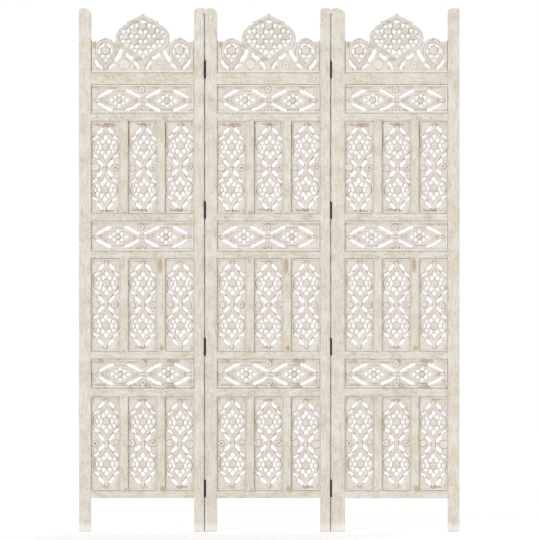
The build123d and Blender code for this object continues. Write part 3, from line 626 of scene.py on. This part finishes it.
CREST_RING_ARCS = [
    [(23, 7.5), (18, 10), (12, 11), (7, 13), (6, 17), (10, 20), (15, 16.5), (20, 12)],
    [(-1, 21), (-7, 21), (-13, 17), (-15.6, 11.5), (-13, 8), (-9.5, 10), (-8, 14.5), (-3, 16.5)],
]
CREST_RING_CENTRE = (116, 71)
CREST_RIM = (2, 2, 8, 2)
CREST_TONGUE_TOP = 80.0
CREST_BUTTONS = ((-57.5, 27, 16, 0), (54.5, 24.5, 11, 1.4))
CREST_LEAVES = [
    [(150.4, 44), (147, 42.5), (142.6, 38), (140, 30.5), (134, 25), (129, 19.5), (126.5, 13),
     (130.4, 10.5), (135, 15.8), (140.3, 19.7), (145.5, 23.6), (148.8, 29.5), (151, 38)],
    [(106.8, 13.7), (104, 21), (99, 27), (91, 29.8), (85.3, 28.3), (88, 25), (92.4, 23.7), (93.4, 19),
     (99, 17), (103.6, 13.4)],
    [(72.7, 73.5), (68.7, 74.5), (64, 69.5), (64.2, 64.5), (67, 59), (70.2, 54), (72.2, 46.5), (77, 43),
     (78.2, 39.2), (82.5, 35.6), (87, 37), (89.7, 42.7), (84.8, 50), (79.5, 58), (75.6, 67)],
    [(53.4, 62.4), (48.3, 62.8), (43.7, 56.8), (37, 53.4), (30.4, 51), (30.8, 46), (36, 41.2), (42.4, 44.4),
     (47.9, 48.4), (52.4, 54.5)],
    [(27.4, 35.2), (21.4, 35.7), (15.6, 29), (11.5, 21), (10, 14.5), (13, 10.8), (17.4, 13.8), (19.6, 21),
     (24.2, 26), (28, 31)],
]

# Bare spots: (place, rise, half width, half height, share).
CREST_WEAR = [
    (-152, 88, 6, 14, 1), (-75, 86, 18, 10, 0.5), (-12, 44, 14, 9, 0.55), (-24, 162, 16, 7, 0.6),
    (30, 158, 14, 6, 0.5), (-56, 144, 10, 8, 0.45), (112, 103, 14, 5, 0.4), (80, 70, 9, 14, 0.4),
    (24, 15, 12, 5, 0.5), (92, 12, 12, 4, 0.45), (-24, 15, 10, 6, 0.5), (153, 84, 5, 18, 0.4),
]


def crest_loops(random):
    """The crest's outline and its holes."""
    loops = [crest_outline()]
    for hole, size in CREST_NET:
        for side in (-1, 1) if hole[0] else (1,):
            loops.append(drop_hole((side * hole[0], hole[1]), [1.2 * value for value in size], random, 1.45))
    for side in (-1, 1):
        centre = (side * CREST_RING_CENTRE[0], CREST_RING_CENTRE[1])
        for hole, size in CREST_RING:
            loops.append(drop_hole((centre[0] + side * hole[0], centre[1] + hole[1]), size, random, 1.8))
        for corners in CREST_RING_ARCS:
            loops.append(leaf_hole(corners, random, centre, centre, (side, 1), 0.5, 0.6, 6.0))
        for number, corners in enumerate(CREST_LEAVES):
            middle = centre if number < 2 else CREST_CENTRE
            loops.append(leaf_hole(corners, random, middle, (0.0, 0.0), (side, 1), 0.6, 1.6, 8.0))
    return loops


def crest_board(height, seed):
    """The crest for carved_mesh, about its foot: a large medallion of flowers between two small ones. Its rim lies
    beyond its sides and top, which the outline cuts."""
    low, high = (-OPENING_WIDTH / 2 + SEAT_GAP, 0.0), (OPENING_WIDTH / 2 - SEAT_GAP, height)
    rim_low, rim_high = (low[0] - 9, low[1]), (high[0] + 9, high[1] + 99)
    medallion = curve_through([
        (1.5, 8), (3.5, 30), (24, 50.5), (54, 71), (72, 86), (79.2, 111), (70, 134), (49, 148.5),
        (45.5, 156), (24, 164.5), (0, 178),
    ])
    small = curve_through([
        (117, 10), (114.5, 24), (97, 43), (89.5, 62), (92.5, 84), (104, 97), (117, 101.5),
        (130, 97), (141.5, 84), (144.5, 62), (137, 43), (119.5, 24), (117, 10),
    ])
    side_flowers = [(sign * CREST_RING_CENTRE[0], CREST_RING_CENTRE[1], 13.0) for sign in (-1, 1)]

    def relief(u, v, depth):
        s = np.abs(u)
        half = FIELD_HALF - 0.2 + 0.8 * smooth(0.2, 1.9, depth)
        half = half + veins(s, v, depth, (52.0, 30.0), 14) + veins(s, v, depth, (150.0, 20.0), 12)
        half = vine_relief(half, path_distance(s, v, small), 3.8, 0.6, 0.6)
        half = vine_relief(half, path_distance(s, v, medallion), 5.2, 0.6, 0.6)
        for number, (*centre, radius) in enumerate(CREST_FLOWERS):
            half = rosette_relief(half, u, v, centre, radius, 8, 0.3 * number, 1.7)
        for *centre, radius in side_flowers:
            half = rosette_relief(half, u, v, centre, radius, 10, math.copysign(0.4, centre[0]), 1.7)
        for *centre, radius, dimple in CREST_BUTTONS:
            half = button_relief(half, u, v, centre, radius, dimple)
        return border_relief(half, u, v, rim_low, rim_high, CREST_RIM)

    def bare(u, v):
        spots = worn_spots(u, v, CREST_WEAR, 0.2 * ripple(u, v, 17, seed + 4), 1.3, 0.5)
        return np.maximum(0.3 * smooth(0.2, 1.2, ripple(u, v, 34, seed)), spots)

    flowers = CREST_FLOWERS + side_flowers
    return low, high, relief, bare, carved_tint(rim_low, rim_high, CREST_RIM, flowers, CREST_BUTTONS, 0.2)


# ---- meshes of posts, rails and muntins ----

def ring_points(half_a, half_b):
    """A bar's section, a rounded rectangle anticlockwise from its low corner: places and outward directions."""
    flat_a, flat_b = half_a - EDGE_RADIUS, half_b - EDGE_RADIUS
    arcs = []
    for a, b, quarter in ((-1, -1, 2), (1, -1, 3), (1, 1, 0), (-1, 1, 1)):
        angle = (quarter + np.arange(ARC_STEPS + 1) / ARC_STEPS) * math.pi / 2
        outward = np.stack([np.cos(angle), np.sin(angle)], 1)
        arcs.append((EDGE_RADIUS * outward + (a * flat_a, b * flat_b), outward))
    places, directions = [], []
    for number, (arc, outward) in enumerate(arcs):
        steps = SHORT_STEPS if number % 2 else LONG_STEPS
        following = arcs[(number + 1) % 4][0][0]
        places += [arc, arc[-1] + (following - arc[-1]) * np.arange(1, steps)[:, None] / steps]
        directions += [outward, np.repeat(outward[-1:], steps - 1, 0)]
    return np.vstack(places), np.vstack(directions)


def end_cap(points):
    """The faces that close a bar's first end: strips from front to back, and a face at each side."""
    front = [ARC_STEPS + step for step in range(LONG_STEPS + 1)]
    back = [points // 2 + ARC_STEPS + LONG_STEPS - step for step in range(LONG_STEPS + 1)]
    faces = [[front[i], front[i + 1], back[i + 1], back[i]] for i in range(LONG_STEPS)]
    faces.append([n % points for n in range(front[-1], back[-1] + 1)])
    faces.append([n % points for n in range(back[0], points + front[0] + 1)])
    return faces


def bar(low, high, along, seed, dark_side=0, notches=(), top=None, rubbed=0.0, knots=()):
    """A hand-finished bar between two corners, along axis 0 or 2, a little uneven: places, faces, painted shade at a
    fold, bare wood.

    dark_side is its side at a fold, where its face is painted dark as the shade in the slot between the panels;
    notches are stretches (from, to) where that is cut back for a hinge, top(x) gives the height of its shaped upper
    end, rubbed is how bare its right front edge is, and knots are its bare spots."""
    low, high = np.array(low), np.array(high)
    across = 2 - along
    middle = (low + high) / 2
    half_a, half_b = (high[across] - low[across]) / 2, (high[1] - low[1]) / 2
    length = high[along] - low[along]
    stations = np.linspace(0, length, max(int(length / STATION_PITCH), 6))[1:-1]
    ends = np.array(END_STATIONS)
    steps = np.array([z + shift for pair in notches for z in pair for shift in (-0.05, 0.05)]) - low[along]
    stations = np.unique(np.round(np.concatenate([stations, ends, length - ends, steps]), 3))
    base, outward = ring_points(half_a, half_b)
    points = len(base)
    around = np.arange(points) / points * 4 * (half_a + half_b)
    corner = smooth(0.55, 0.95, 2 * np.abs(outward[:, 0] * outward[:, 1]))
    rows, wear = [], []
    for station in stations:
        here = low[along] + station
        sag = np.clip(0.16 + 0.128 * ripple(here, around, 60, seed), 0, 0.5)
        chip = 1.1 * corner * smooth(0.9, 1.6, ripple(here, around * 0.2, 15, seed + 3))
        shrink = np.interp(min(station, length - station), END_STATIONS, END_INSETS)
        place = base - outward * (sag + chip + shrink)[:, None]
        if any(start < here < end for start, end in notches):
            in_front = base[:, 1] < GAIN_FRONT - half_b
            limit = half_a - np.where(in_front, GAIN_FRONT_DEPTHS[dark_side], GAIN_DEPTH)
            place[:, 0] = dark_side * np.minimum(dark_side * place[:, 0], limit)
        xyz = np.zeros((points, 3))
        xyz[:, across] = middle[across] + place[:, 0]
        xyz[:, 1] = middle[1] + place[:, 1]
        xyz[:, along] = here if top is None else here / high[2] * top(xyz[:, 0])
        rows.append(xyz)
        worn = corner * smooth(-0.1, 1.0, ripple(here, around, 22, seed + 7)) + 0.6 * (chip > 0.15)
        if rubbed:
            stretch = smooth(-0.5, 0.3, ripple(0.0, here, 90, seed))
            worn = np.where((outward[:, 0] > 0.2) & (base[:, 1] < 0), rubbed * stretch, worn)
        wear.append(np.clip(np.maximum(worn, worn_spots(base[:, 0], here, knots, 0, 1.3, 0.4)), 0, 1))
    ring, last = np.arange(points), (len(rows) - 1) * points
    start, following = np.arange(0, last, points)[:, None], np.roll(ring, -1)
    sides = np.stack([start + ring, start + following, start + points + following, start + points + ring], 2)
    cap = end_cap(points)
    faces = sides.reshape(-1, 4).tolist() + [face[::-1] for face in cap] + [[last + n for n in face] for face in cap]
    if along == 0:
        faces = [face[::-1] for face in faces]
    # Painted shade: the face at a fold is darkened for the deep slot between the panels.
    grime = np.tile(1.0 * (outward[:, 0] * dark_side > 0.9), len(rows))
    return np.vstack(rows), faces, grime, np.concatenate(wear)


def bars_mesh(name, bars):
    """One mesh out of one or more bars."""
    places, faces, grime, bare = zip(*bars)
    starts = np.cumsum([0] + [len(own) for own in places]).tolist()
    faces = [[start + n for n in face] for start, own in zip(starts, faces) for face in own]
    return finished_mesh(name, np.vstack(places), faces, SHARP_BAR, grime=np.concatenate(grime),
                         bare=np.concatenate(bare))


def arc_height(radius, off):
    """The height of a post's round top at a distance off the arc's middle."""
    return POST_HEIGHT - radius + np.sqrt(np.maximum(radius**2 - off**2, 0))


def left_post_top(low, high):
    """The shaped top of a left post: a low crown that falls further towards the opening."""
    peak = low + CROWN_PEAK
    outer, inner = ((span**2 + fall**2) / (2 * fall) for span, fall in zip((peak - low, high - peak), CROWN_FALLS))
    return lambda x: arc_height(np.where(x > peak, inner, outer), x - peak)


def right_post_top(low, high):
    """The top of a right post: flat, with one round corner towards the opening and a small one outside."""

    def top(x):
        radius = np.where(x < (low + high) / 2, *CORNER_RADII)
        return arc_height(radius, np.maximum(radius - np.minimum(x - low, high - x), 0))

    return top


# ---- materials ----

class Nodes:
    """The nodes of a material or world being built: short calls that add nodes and link them."""

    def __init__(self, owner):
        owner.use_nodes = True
        self.owner = owner
        self.tree = owner.node_tree
        self.tree.nodes.clear()

    def add(self, kind, settings=None, **inputs):
        """A node with its own properties and its inputs, by name with _ for a space or as i and number."""
        node = self.tree.nodes.new(kind)
        for key, value in (settings or {}).items():
            setattr(node, key, value)
        for key, value in inputs.items():
            numbered = key[0] == "i" and key[1:].isdigit()
            socket = node.inputs[int(key[1:]) if numbered else key.replace("_", " ")]
            if isinstance(value, bpy.types.NodeSocket):
                self.tree.links.new(value, socket)
            else:
                socket.default_value = value
        return node

    def noise(self, vector, scale, detail, roughness, distortion=0.0):
        node = self.add("ShaderNodeTexNoise", Vector=vector, Scale=scale, Detail=detail, Roughness=roughness,
                        Distortion=distortion)
        return node.outputs["Fac"]

    def mapped(self, vector, **change):
        return self.add("ShaderNodeMapping", Vector=vector, **change).outputs["Vector"]

    def step(self, value, low, high, to_low=0.0, to_high=1.0):
        return self.add("ShaderNodeMapRange", {"interpolation_type": "SMOOTHSTEP"}, i0=value, i1=low, i2=high,
                        i3=to_low, i4=to_high).outputs[0]

    def math(self, operation, a, b):
        return self.add("ShaderNodeMath", {"operation": operation}, i0=a, i1=b).outputs[0]

    def mix(self, share, a, b):
        return self.add("ShaderNodeMix", {"data_type": "RGBA"}, i0=share, i6=a, i7=b).outputs[2]

    def coat(self, colour, top, value, low, high, most):
        """A colour with another over it where a value passes from low to high. most is how much it covers."""
        return self.mix(self.step(value, low, high, 0.0, most), colour, top)

    def mark(self, name):
        return self.add("ShaderNodeAttribute", {"attribute_name": name}).outputs["Fac"]

    def finish(self, kind, shader):
        self.add(f"ShaderNodeOutput{kind}", Surface=shader.outputs[0])
        return self.owner


def srgb(red, green, blue):
    """A colour given in the 0-255 steps of a screen, for a shader."""
    def linear(step):
        share = step / 255
        return share / 12.92 if share <= 0.04045 else ((share + 0.055) / 1.055) ** 2.4
    return (linear(red), linear(green), linear(blue), 1.0)


def whitewashed(name, along, paint, thin, cool, wood, marks, bold, pale_foot=0.0):
    """Wood under a worn coat of thin white paint. along is the axis of the grain, marks how much the saw's marks
    show, bold how strong the grain is and pale_foot how much paler the lowest centimetres are."""
    chalk, saw_mark, daub, foot = srgb(242, 240, 234), srgb(160, 146, 126), srgb(246, 242, 234), srgb(246, 245, 243)
    greenish, rubbed, dirt_and_shade = srgb(196, 190, 166), srgb(240, 234, 225), srgb(112, 98, 84)
    m = Nodes(bpy.data.materials.new(name))
    even = m.add("ShaderNodeTexCoord").outputs["Object"]
    fine, drawn = [1.0, 1.0, 1.0], [1.0, 1.0, 1.0]
    fine[along], drawn[along] = 0.05, 0.13
    grain = m.noise(m.mapped(even, Scale=fine), 420.0, 5.0, 0.62, 0.3)
    streaks = m.noise(m.mapped(even, Scale=drawn), 165.0, 5.0, 0.66, 0.8)
    cloud = m.noise(even, 21.0, 4.0, 0.6)
    slant = m.mapped(even, Rotation=(0, math.radians(38), 0))
    hatch = m.noise(m.mapped(slant, Scale=(1, 1, 0.2)), 310.0, 3.0, 0.6)
    colour = m.mix(m.step(cloud, 0.36, 0.66), paint, thin)
    colour = m.coat(colour, cool, m.noise(even, 30.0, 3.0, 0.6), 0.5, 0.66, 0.7)
    colour = m.coat(colour, wood, streaks, 0.46, 0.72, bold)
    colour = m.coat(colour, chalk, streaks, 0.46, 0.26, 0.6 * bold)
    colour = m.coat(colour, wood, grain, 0.5, 0.78, 0.4)
    colour = m.coat(colour, wood, m.noise(even, 120.0, 4.0, 0.7), 0.52, 0.74, 0.8 * bold)
    scored = m.math("MULTIPLY", m.step(hatch, 0.5, 0.68, 0.0, marks), m.step(cloud, 0.4, 0.56))
    colour = m.mix(scored, colour, saw_mark)
    colour = m.coat(colour, daub, m.noise(even, 95.0, 2.0, 0.5), 0.66, 0.72, bold)
    colour = m.coat(colour, greenish, m.mark("tint"), 0.0, 1.0, 0.16)
    colour = m.coat(colour, rubbed, m.mark("tint"), 0.0, -1.0, 0.6)
    worn = m.math("MULTIPLY", m.mark("bare"), m.step(cloud, 0.2, 0.55, 0.55, 1.0))
    colour = m.coat(colour, m.mix(grain, srgb(162, 132, 102), srgb(200, 174, 146)), worn, 0.12, 0.9, 0.72)
    # Painted shade, with a little dirt: darker where the meshes mark recesses, hole edges, the tongues in the gaps and
    # the posts' faces at the folds.
    colour = m.coat(colour, dirt_and_shade, m.mark("grime"), 0.05, 1.0, 0.86)
    rise = m.add("ShaderNodeSeparateXYZ", Vector=even).outputs["Z"]
    colour = m.coat(colour, foot, rise, 0.034, 0.012, pale_foot)
    height = m.math("ADD", m.math("MULTIPLY", grain, 0.6), m.math("MULTIPLY", scored, -0.5))
    bump = m.add("ShaderNodeBump", Strength=0.35, Distance=0.0006, Height=height).outputs["Normal"]
    shader = m.add("ShaderNodeBsdfPrincipled", Base_Color=colour, Roughness=m.step(grain, 0.2, 0.8, 0.62, 0.86),
                   Normal=bump, Specular_IOR_Level=0.3)
    return m.finish("Material", shader)


def aged_metal(name, dark, light, metallic):
    """Iron that has blackened and rusted a little."""
    m = Nodes(bpy.data.materials.new(name))
    place = m.add("ShaderNodeTexCoord").outputs["Object"]
    cloud = m.noise(place, 160.0, 5.0, 0.65)
    pits = m.noise(place, 900.0, 3.0, 0.6)
    colour = m.mix(m.step(cloud, 0.35, 0.7), dark, light)
    colour = m.coat(colour, srgb(70, 44, 30), pits, 0.62, 0.78, 0.35)
    bump = m.add("ShaderNodeBump", Strength=0.3, Distance=0.0002, Height=pits).outputs["Normal"]
    shader = m.add("ShaderNodeBsdfPrincipled", Base_Color=colour, Roughness=m.step(cloud, 0.3, 0.75, 0.42, 0.72),
                   Normal=bump, Metallic=metallic)
    return m.finish("Material", shader)


CREAM = (srgb(231, 226, 216), srgb(221, 213, 199), srgb(226, 222, 210), srgb(190, 176, 154))
PALE = (srgb(231, 226, 217), srgb(223, 213, 203), srgb(230, 230, 224), srgb(196, 178, 158))
finish = {
    "upright": whitewashed("whitewashed_upright", 2, *CREAM, 0.35, 0.6, 0.6),
    "level": whitewashed("whitewashed_level", 0, *CREAM, 0.6, 0.66),
    "carved_upright": whitewashed("whitewashed_carved_upright", 2, *PALE, 0.1, 0.3),
    "carved_level": whitewashed("whitewashed_carved_level", 0, *PALE, 0.1, 0.3),
    "iron": aged_metal("aged_iron", srgb(13, 11, 10), srgb(27, 23, 20), 0.1),
    "screw": aged_metal("dulled_steel", srgb(58, 52, 46), srgb(94, 86, 76), 0.8),
}


# ---- pieces ----

def new_object(name, data):
    """An object in the scene."""
    thing = bpy.data.objects.new(name, data)
    bpy.context.scene.collection.objects.link(thing)
    return thing


def place_piece(side, part, mesh, coat, centre=(0, 0, 0), number=None):
    """Shows a mesh at a centre in millimetres, on its panel's body, in place of that part's CAD node. number is that
    of a single board in a row of inserts."""
    piece = new_object(f"{side}_{part}" if number is None else f"{side}_{part[:-1]}_{number}", mesh)
    if not mesh.materials:
        mesh.materials.append(finish[coat])
    piece.location = [MM * value for value in centre]
    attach(piece, f"panel_{side}")
    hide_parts(f"{side}_panel_{part}")


def node_box(node):
    """A CAD node's low and high corner, in millimetres."""
    return np.array(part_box(node)) / MM


def node_centre(node):
    """The middle of a CAD node's box, in millimetres."""
    return node_box(node).mean(0)


def node_height(node):
    """The height of a board without its tongues and seats, in millimetres."""
    low, high = node_box(node)
    return high[2] - low[2] - 2 * SEAT_DEPTH


def make_inserts():
    """Three rows of three upright boards in each panel. The panels share the meshes."""
    for row, name in enumerate(ROWS):
        height = node_height(f"centre_panel_{name}_inserts")
        medallion = (height - 21.0) / 4
        for column, (gaps, shifts, buttons, patches) in enumerate(INSERT_STYLES[name]):
            seed = 100 + 10 * row + column
            centres = [(along, up + sign * medallion) for (along, up), sign in zip(shifts, (1, -1))]
            board = insert_board(height, centres, gaps, buttons, patches, 0.2 * (column + row), seed)
            loops = insert_loops(centres, OPENNESS[name], np.random.default_rng(seed))
            mesh = carved_mesh(f"carved_insert_{name}_{column + 1}", loops, board, seed, height / 2 + SEAT_DEPTH)
            for side in SIDES:
                centre = node_centre(f"{side}_panel_{name}_inserts") + ((column - 1) * INSERT_PITCH, 0, 0)
                place_piece(side, f"{name}_inserts", mesh, "carved_upright", centre, column + 1)


def make_bands():
    """Three long boards in each panel."""
    for row, name in enumerate(ROWS):
        height = node_height(f"centre_panel_{name}_band")
        centres, rings, stain = BAND_STYLES[name]
        board = band_board(height, centres, rings, stain, 40 + row)
        loops = band_loops(centres, np.random.default_rng(60 + row))
        mesh = carved_mesh(f"carved_band_{name}", loops, board, 50 + row, height / 2 + SEAT_DEPTH)
        for side in SIDES:
            place_piece(side, f"{name}_band", mesh, "carved_level", node_centre(f"{side}_panel_{name}_band"))


def make_crests():
    """The crest of each panel."""
    foot = crest_foot()
    board = crest_board(node_box("centre_panel_crest")[1][2] - foot, 71)
    mesh = carved_mesh("carved_crest", crest_loops(np.random.default_rng(73)), board, 72, CREST_TONGUE_TOP, False)
    for side in SIDES:
        x, y, _ = node_centre(f"{side}_panel_crest")
        place_piece(side, "crest", mesh, "carved_level", (x, y, foot))


def make_posts(side):
    """The two posts of a panel, with the lips at its folds."""
    for number, (name, outward) in enumerate((("left_post", -1), ("right_post", 1))):
        low, high = node_box(f"{side}_panel_{name}")
        top = left_post_top if outward < 0 else right_post_top
        if (side, outward) in (("left", -1), ("right", 1)):
            parts = [bar(low, high, 2, 11 + number, top=top(low[0], high[0]))]
        else:
            outer = low if outward < 0 else high
            outer[0] -= outward * LIP_REACH
            notches = [(z - HINGE_HALF, z + HINGE_HALF) for z in HINGE_CENTRES]
            parts = [bar(low, high, 2, 11 + number, outward, notches, top(low[0], high[0]))]
            x0, x1 = sorted((outer[0] - outward * LIP_OVERLAP, outer[0] + outward * LIP_REACH))
            ends = [0.0] + [z for pair in notches for z in pair] + [LIP_TOP]
            for z0, z1 in zip(ends[::2], ends[1::2]):
                parts.append(bar((x0, high[1] - LIP_THICKNESS, z0), (x1, high[1] - LIP_SETBACK, z1), 2, 21, outward))
        place_piece(side, name, bars_mesh(f"{side}_{name}_mesh", parts), "upright")


# Bare spots on rails and muntins: (place across, place along, half width, half length, share). On muntins, the place
# along is the distance from the top or, below 0, from the foot. RUBBED is how bare each row's right edges are.
RAIL_KNOTS = {
    "top_rail": ((2, 30, 7, 14, 0.5),), "rail_2": ((-3, 70, 9, 17, 0.8), (6, 120, 5, 9, 0.5)),
    "rail_3": ((-8, 60, 8, 22, 0.6), (4, -118, 8, 12, 0.5)), "rail_4": ((-6, -58, 5, 14, 0.9), (8, 78, 5, 20, 0.6)),
    "rail_5": ((8, -60, 6, 26, 0.7), (2, 140, 9, 10, 0.6)), "rail_6": ((-7, -54, 5, 14, 0.9), (6, 26, 4, 22, 0.5)),
    "bottom_rail": ((9, 64, 8, 9, 0.9), (9, -60, 5, 12, 0.8), (8, 138, 6, 8, 0.6)),
}
MUNTIN_KNOTS = {
    "lower": (((-6, 3, 7, 14, 0.7), (5, -4, 9, 12, 0.7)), ((4, 6, 6, 10, 0.3), (4, -9, 8, 13, 1.2))),
    "middle": (((-3, 5, 8, 16, 0.6), (-2, -4, 7, 8, 0.9)), ((-3, 26, 8, 32, 1), (2, -15, 7, 9, 1.4))),
    "upper": (((-5, 8, 5, 20, 0.4), (2, -5, 12, 8, 0.9)), ((-4, 10, 6, 16, 0.3), (0, -4, 12, 7, 0.9))),
}
RUBBED = {"lower": 0.75, "middle": 0.45, "upper": 1.0}


def make_rails(side):
    """The seven rails of a panel, between its posts."""
    middle = node_centre(f"{side}_panel_top_rail")[0]
    for number, name in enumerate(RAIL_NAMES):
        low, high = node_box(f"{side}_panel_{name}")
        low[0] += TENON - LET_IN
        high[0] -= TENON - LET_IN
        knots = [(across, middle + along, *rest, 0.7 * share) for across, along, *rest, share in RAIL_KNOTS[name]]
        mesh = bars_mesh(f"{side}_panel_{name}_mesh", [bar(low, high, 0, 31 + number, knots=knots)])
        place_piece(side, name, mesh, "level")


def make_muntins(side):
    """The six upright bars between the inserts of a panel."""
    half_width = (INSERT_PITCH - INSERT_WIDTH) / 2
    centre = node_centre(f"{side}_panel_muntins")[0]
    parts = []
    for row, name in enumerate(ROWS):
        low, high = node_box(f"{side}_panel_{name}_inserts")
        for column, step in enumerate((-0.5, 0.5)):
            x = centre + step * INSERT_PITCH
            knots = from_ends(low[2], high[2], MUNTIN_KNOTS[name][column])
            parts.append(bar((x - half_width, -FRAME_HALF, low[2] + TONGUE - LET_IN),
                             (x + half_width, FRAME_HALF, high[2] - TONGUE + LET_IN), 2, 41 + 2 * row + column,
                             rubbed=RUBBED[name], knots=knots))
    place_piece(side, "muntins", bars_mesh(f"{side}_muntins_mesh", parts), "upright")


def dress_hardware():
    """The hinges and screws keep their CAD shapes and get aged metal."""
    for name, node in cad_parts.items():
        if "hinge" in name:
            node.data.materials.clear()
            node.data.materials.append(finish["screw" if "screws" in name else "iron"])


make_inserts()
make_bands()
make_crests()
for panel in SIDES:
    make_posts(panel)
    make_rails(panel)
    make_muntins(panel)
dress_hardware()


# ---- stage, light and camera ----

def make_floor():
    """A plain pale matt floor that the camera and glossy things see a little brighter than it is lit."""
    m = Nodes(bpy.data.materials.new("pale_floor"))
    path = m.add("ShaderNodeLightPath").outputs
    seen = m.math("MAXIMUM", path["Is Camera Ray"], path["Is Glossy Ray"])
    matt = m.add("ShaderNodeBsdfDiffuse", Color=(FLOOR_GREY, FLOOR_GREY, FLOOR_GREY, 1))
    light = m.add("ShaderNodeEmission", Color=WHITE, Strength=m.math("MULTIPLY", seen, FLOOR_GLOW))
    both = m.add("ShaderNodeAddShader", i0=matt.outputs[0], i1=light.outputs[0])
    mesh = bpy.data.meshes.new("floor")
    corners = ((-1, -1), (1, -1), (1, 1), (-1, 1))
    mesh.from_pydata([(FLOOR_HALF * x, FLOOR_HALF * y, 0) for x, y in corners], [], [(0, 1, 2, 3)])
    mesh.materials.append(m.finish("Material", both))
    floor = new_object("floor", mesh)
    floor.location.z = -FLOOR_DROP


def make_world():
    """White to the camera, in reflections and through glass, and a softer white as light."""
    m = Nodes(bpy.data.worlds.new("studio"))
    path = m.add("ShaderNodeLightPath").outputs
    seen = m.math("MAXIMUM", path["Is Camera Ray"], path["Is Glossy Ray"])
    seen = m.math("MAXIMUM", seen, path["Is Transmission Ray"])
    light = m.add("ShaderNodeBackground", Color=WHITE, Strength=m.step(seen, 0.0, 1.0, AMBIENT, 1.0))
    bpy.context.scene.world = m.finish("World", light)


def make_sun(name, toward, width, power):
    """A soft, even light that falls along a direction. width is the angle of its disc, in degrees."""
    data = bpy.data.lights.new(name, "SUN")
    data.angle = math.radians(width)
    data.energy = power
    new_object(name, data).rotation_euler = Vector(toward).to_track_quat("-Z", "Y").to_euler()


def make_camera():
    """A long lens straight in front."""
    data = bpy.data.cameras.new("camera")
    data.sensor_width = SENSOR_WIDTH
    data.lens = SENSOR_WIDTH * (CAMERA_DISTANCE - FRAME_HALF * MM) / VIEW_WIDTH
    data.clip_end = 100.0
    camera = new_object("camera", data)
    camera.location = (VIEW_CENTRE[0], -CAMERA_DISTANCE, VIEW_CENTRE[1])
    camera.rotation_euler = (math.radians(90), 0, 0)
    bpy.context.scene.camera = camera


make_floor()
make_world()
for sun_name, sun_row in SUNS.items():
    make_sun(sun_name, *sun_row)
make_camera()
bpy.context.scene.view_settings.view_transform = "Standard"
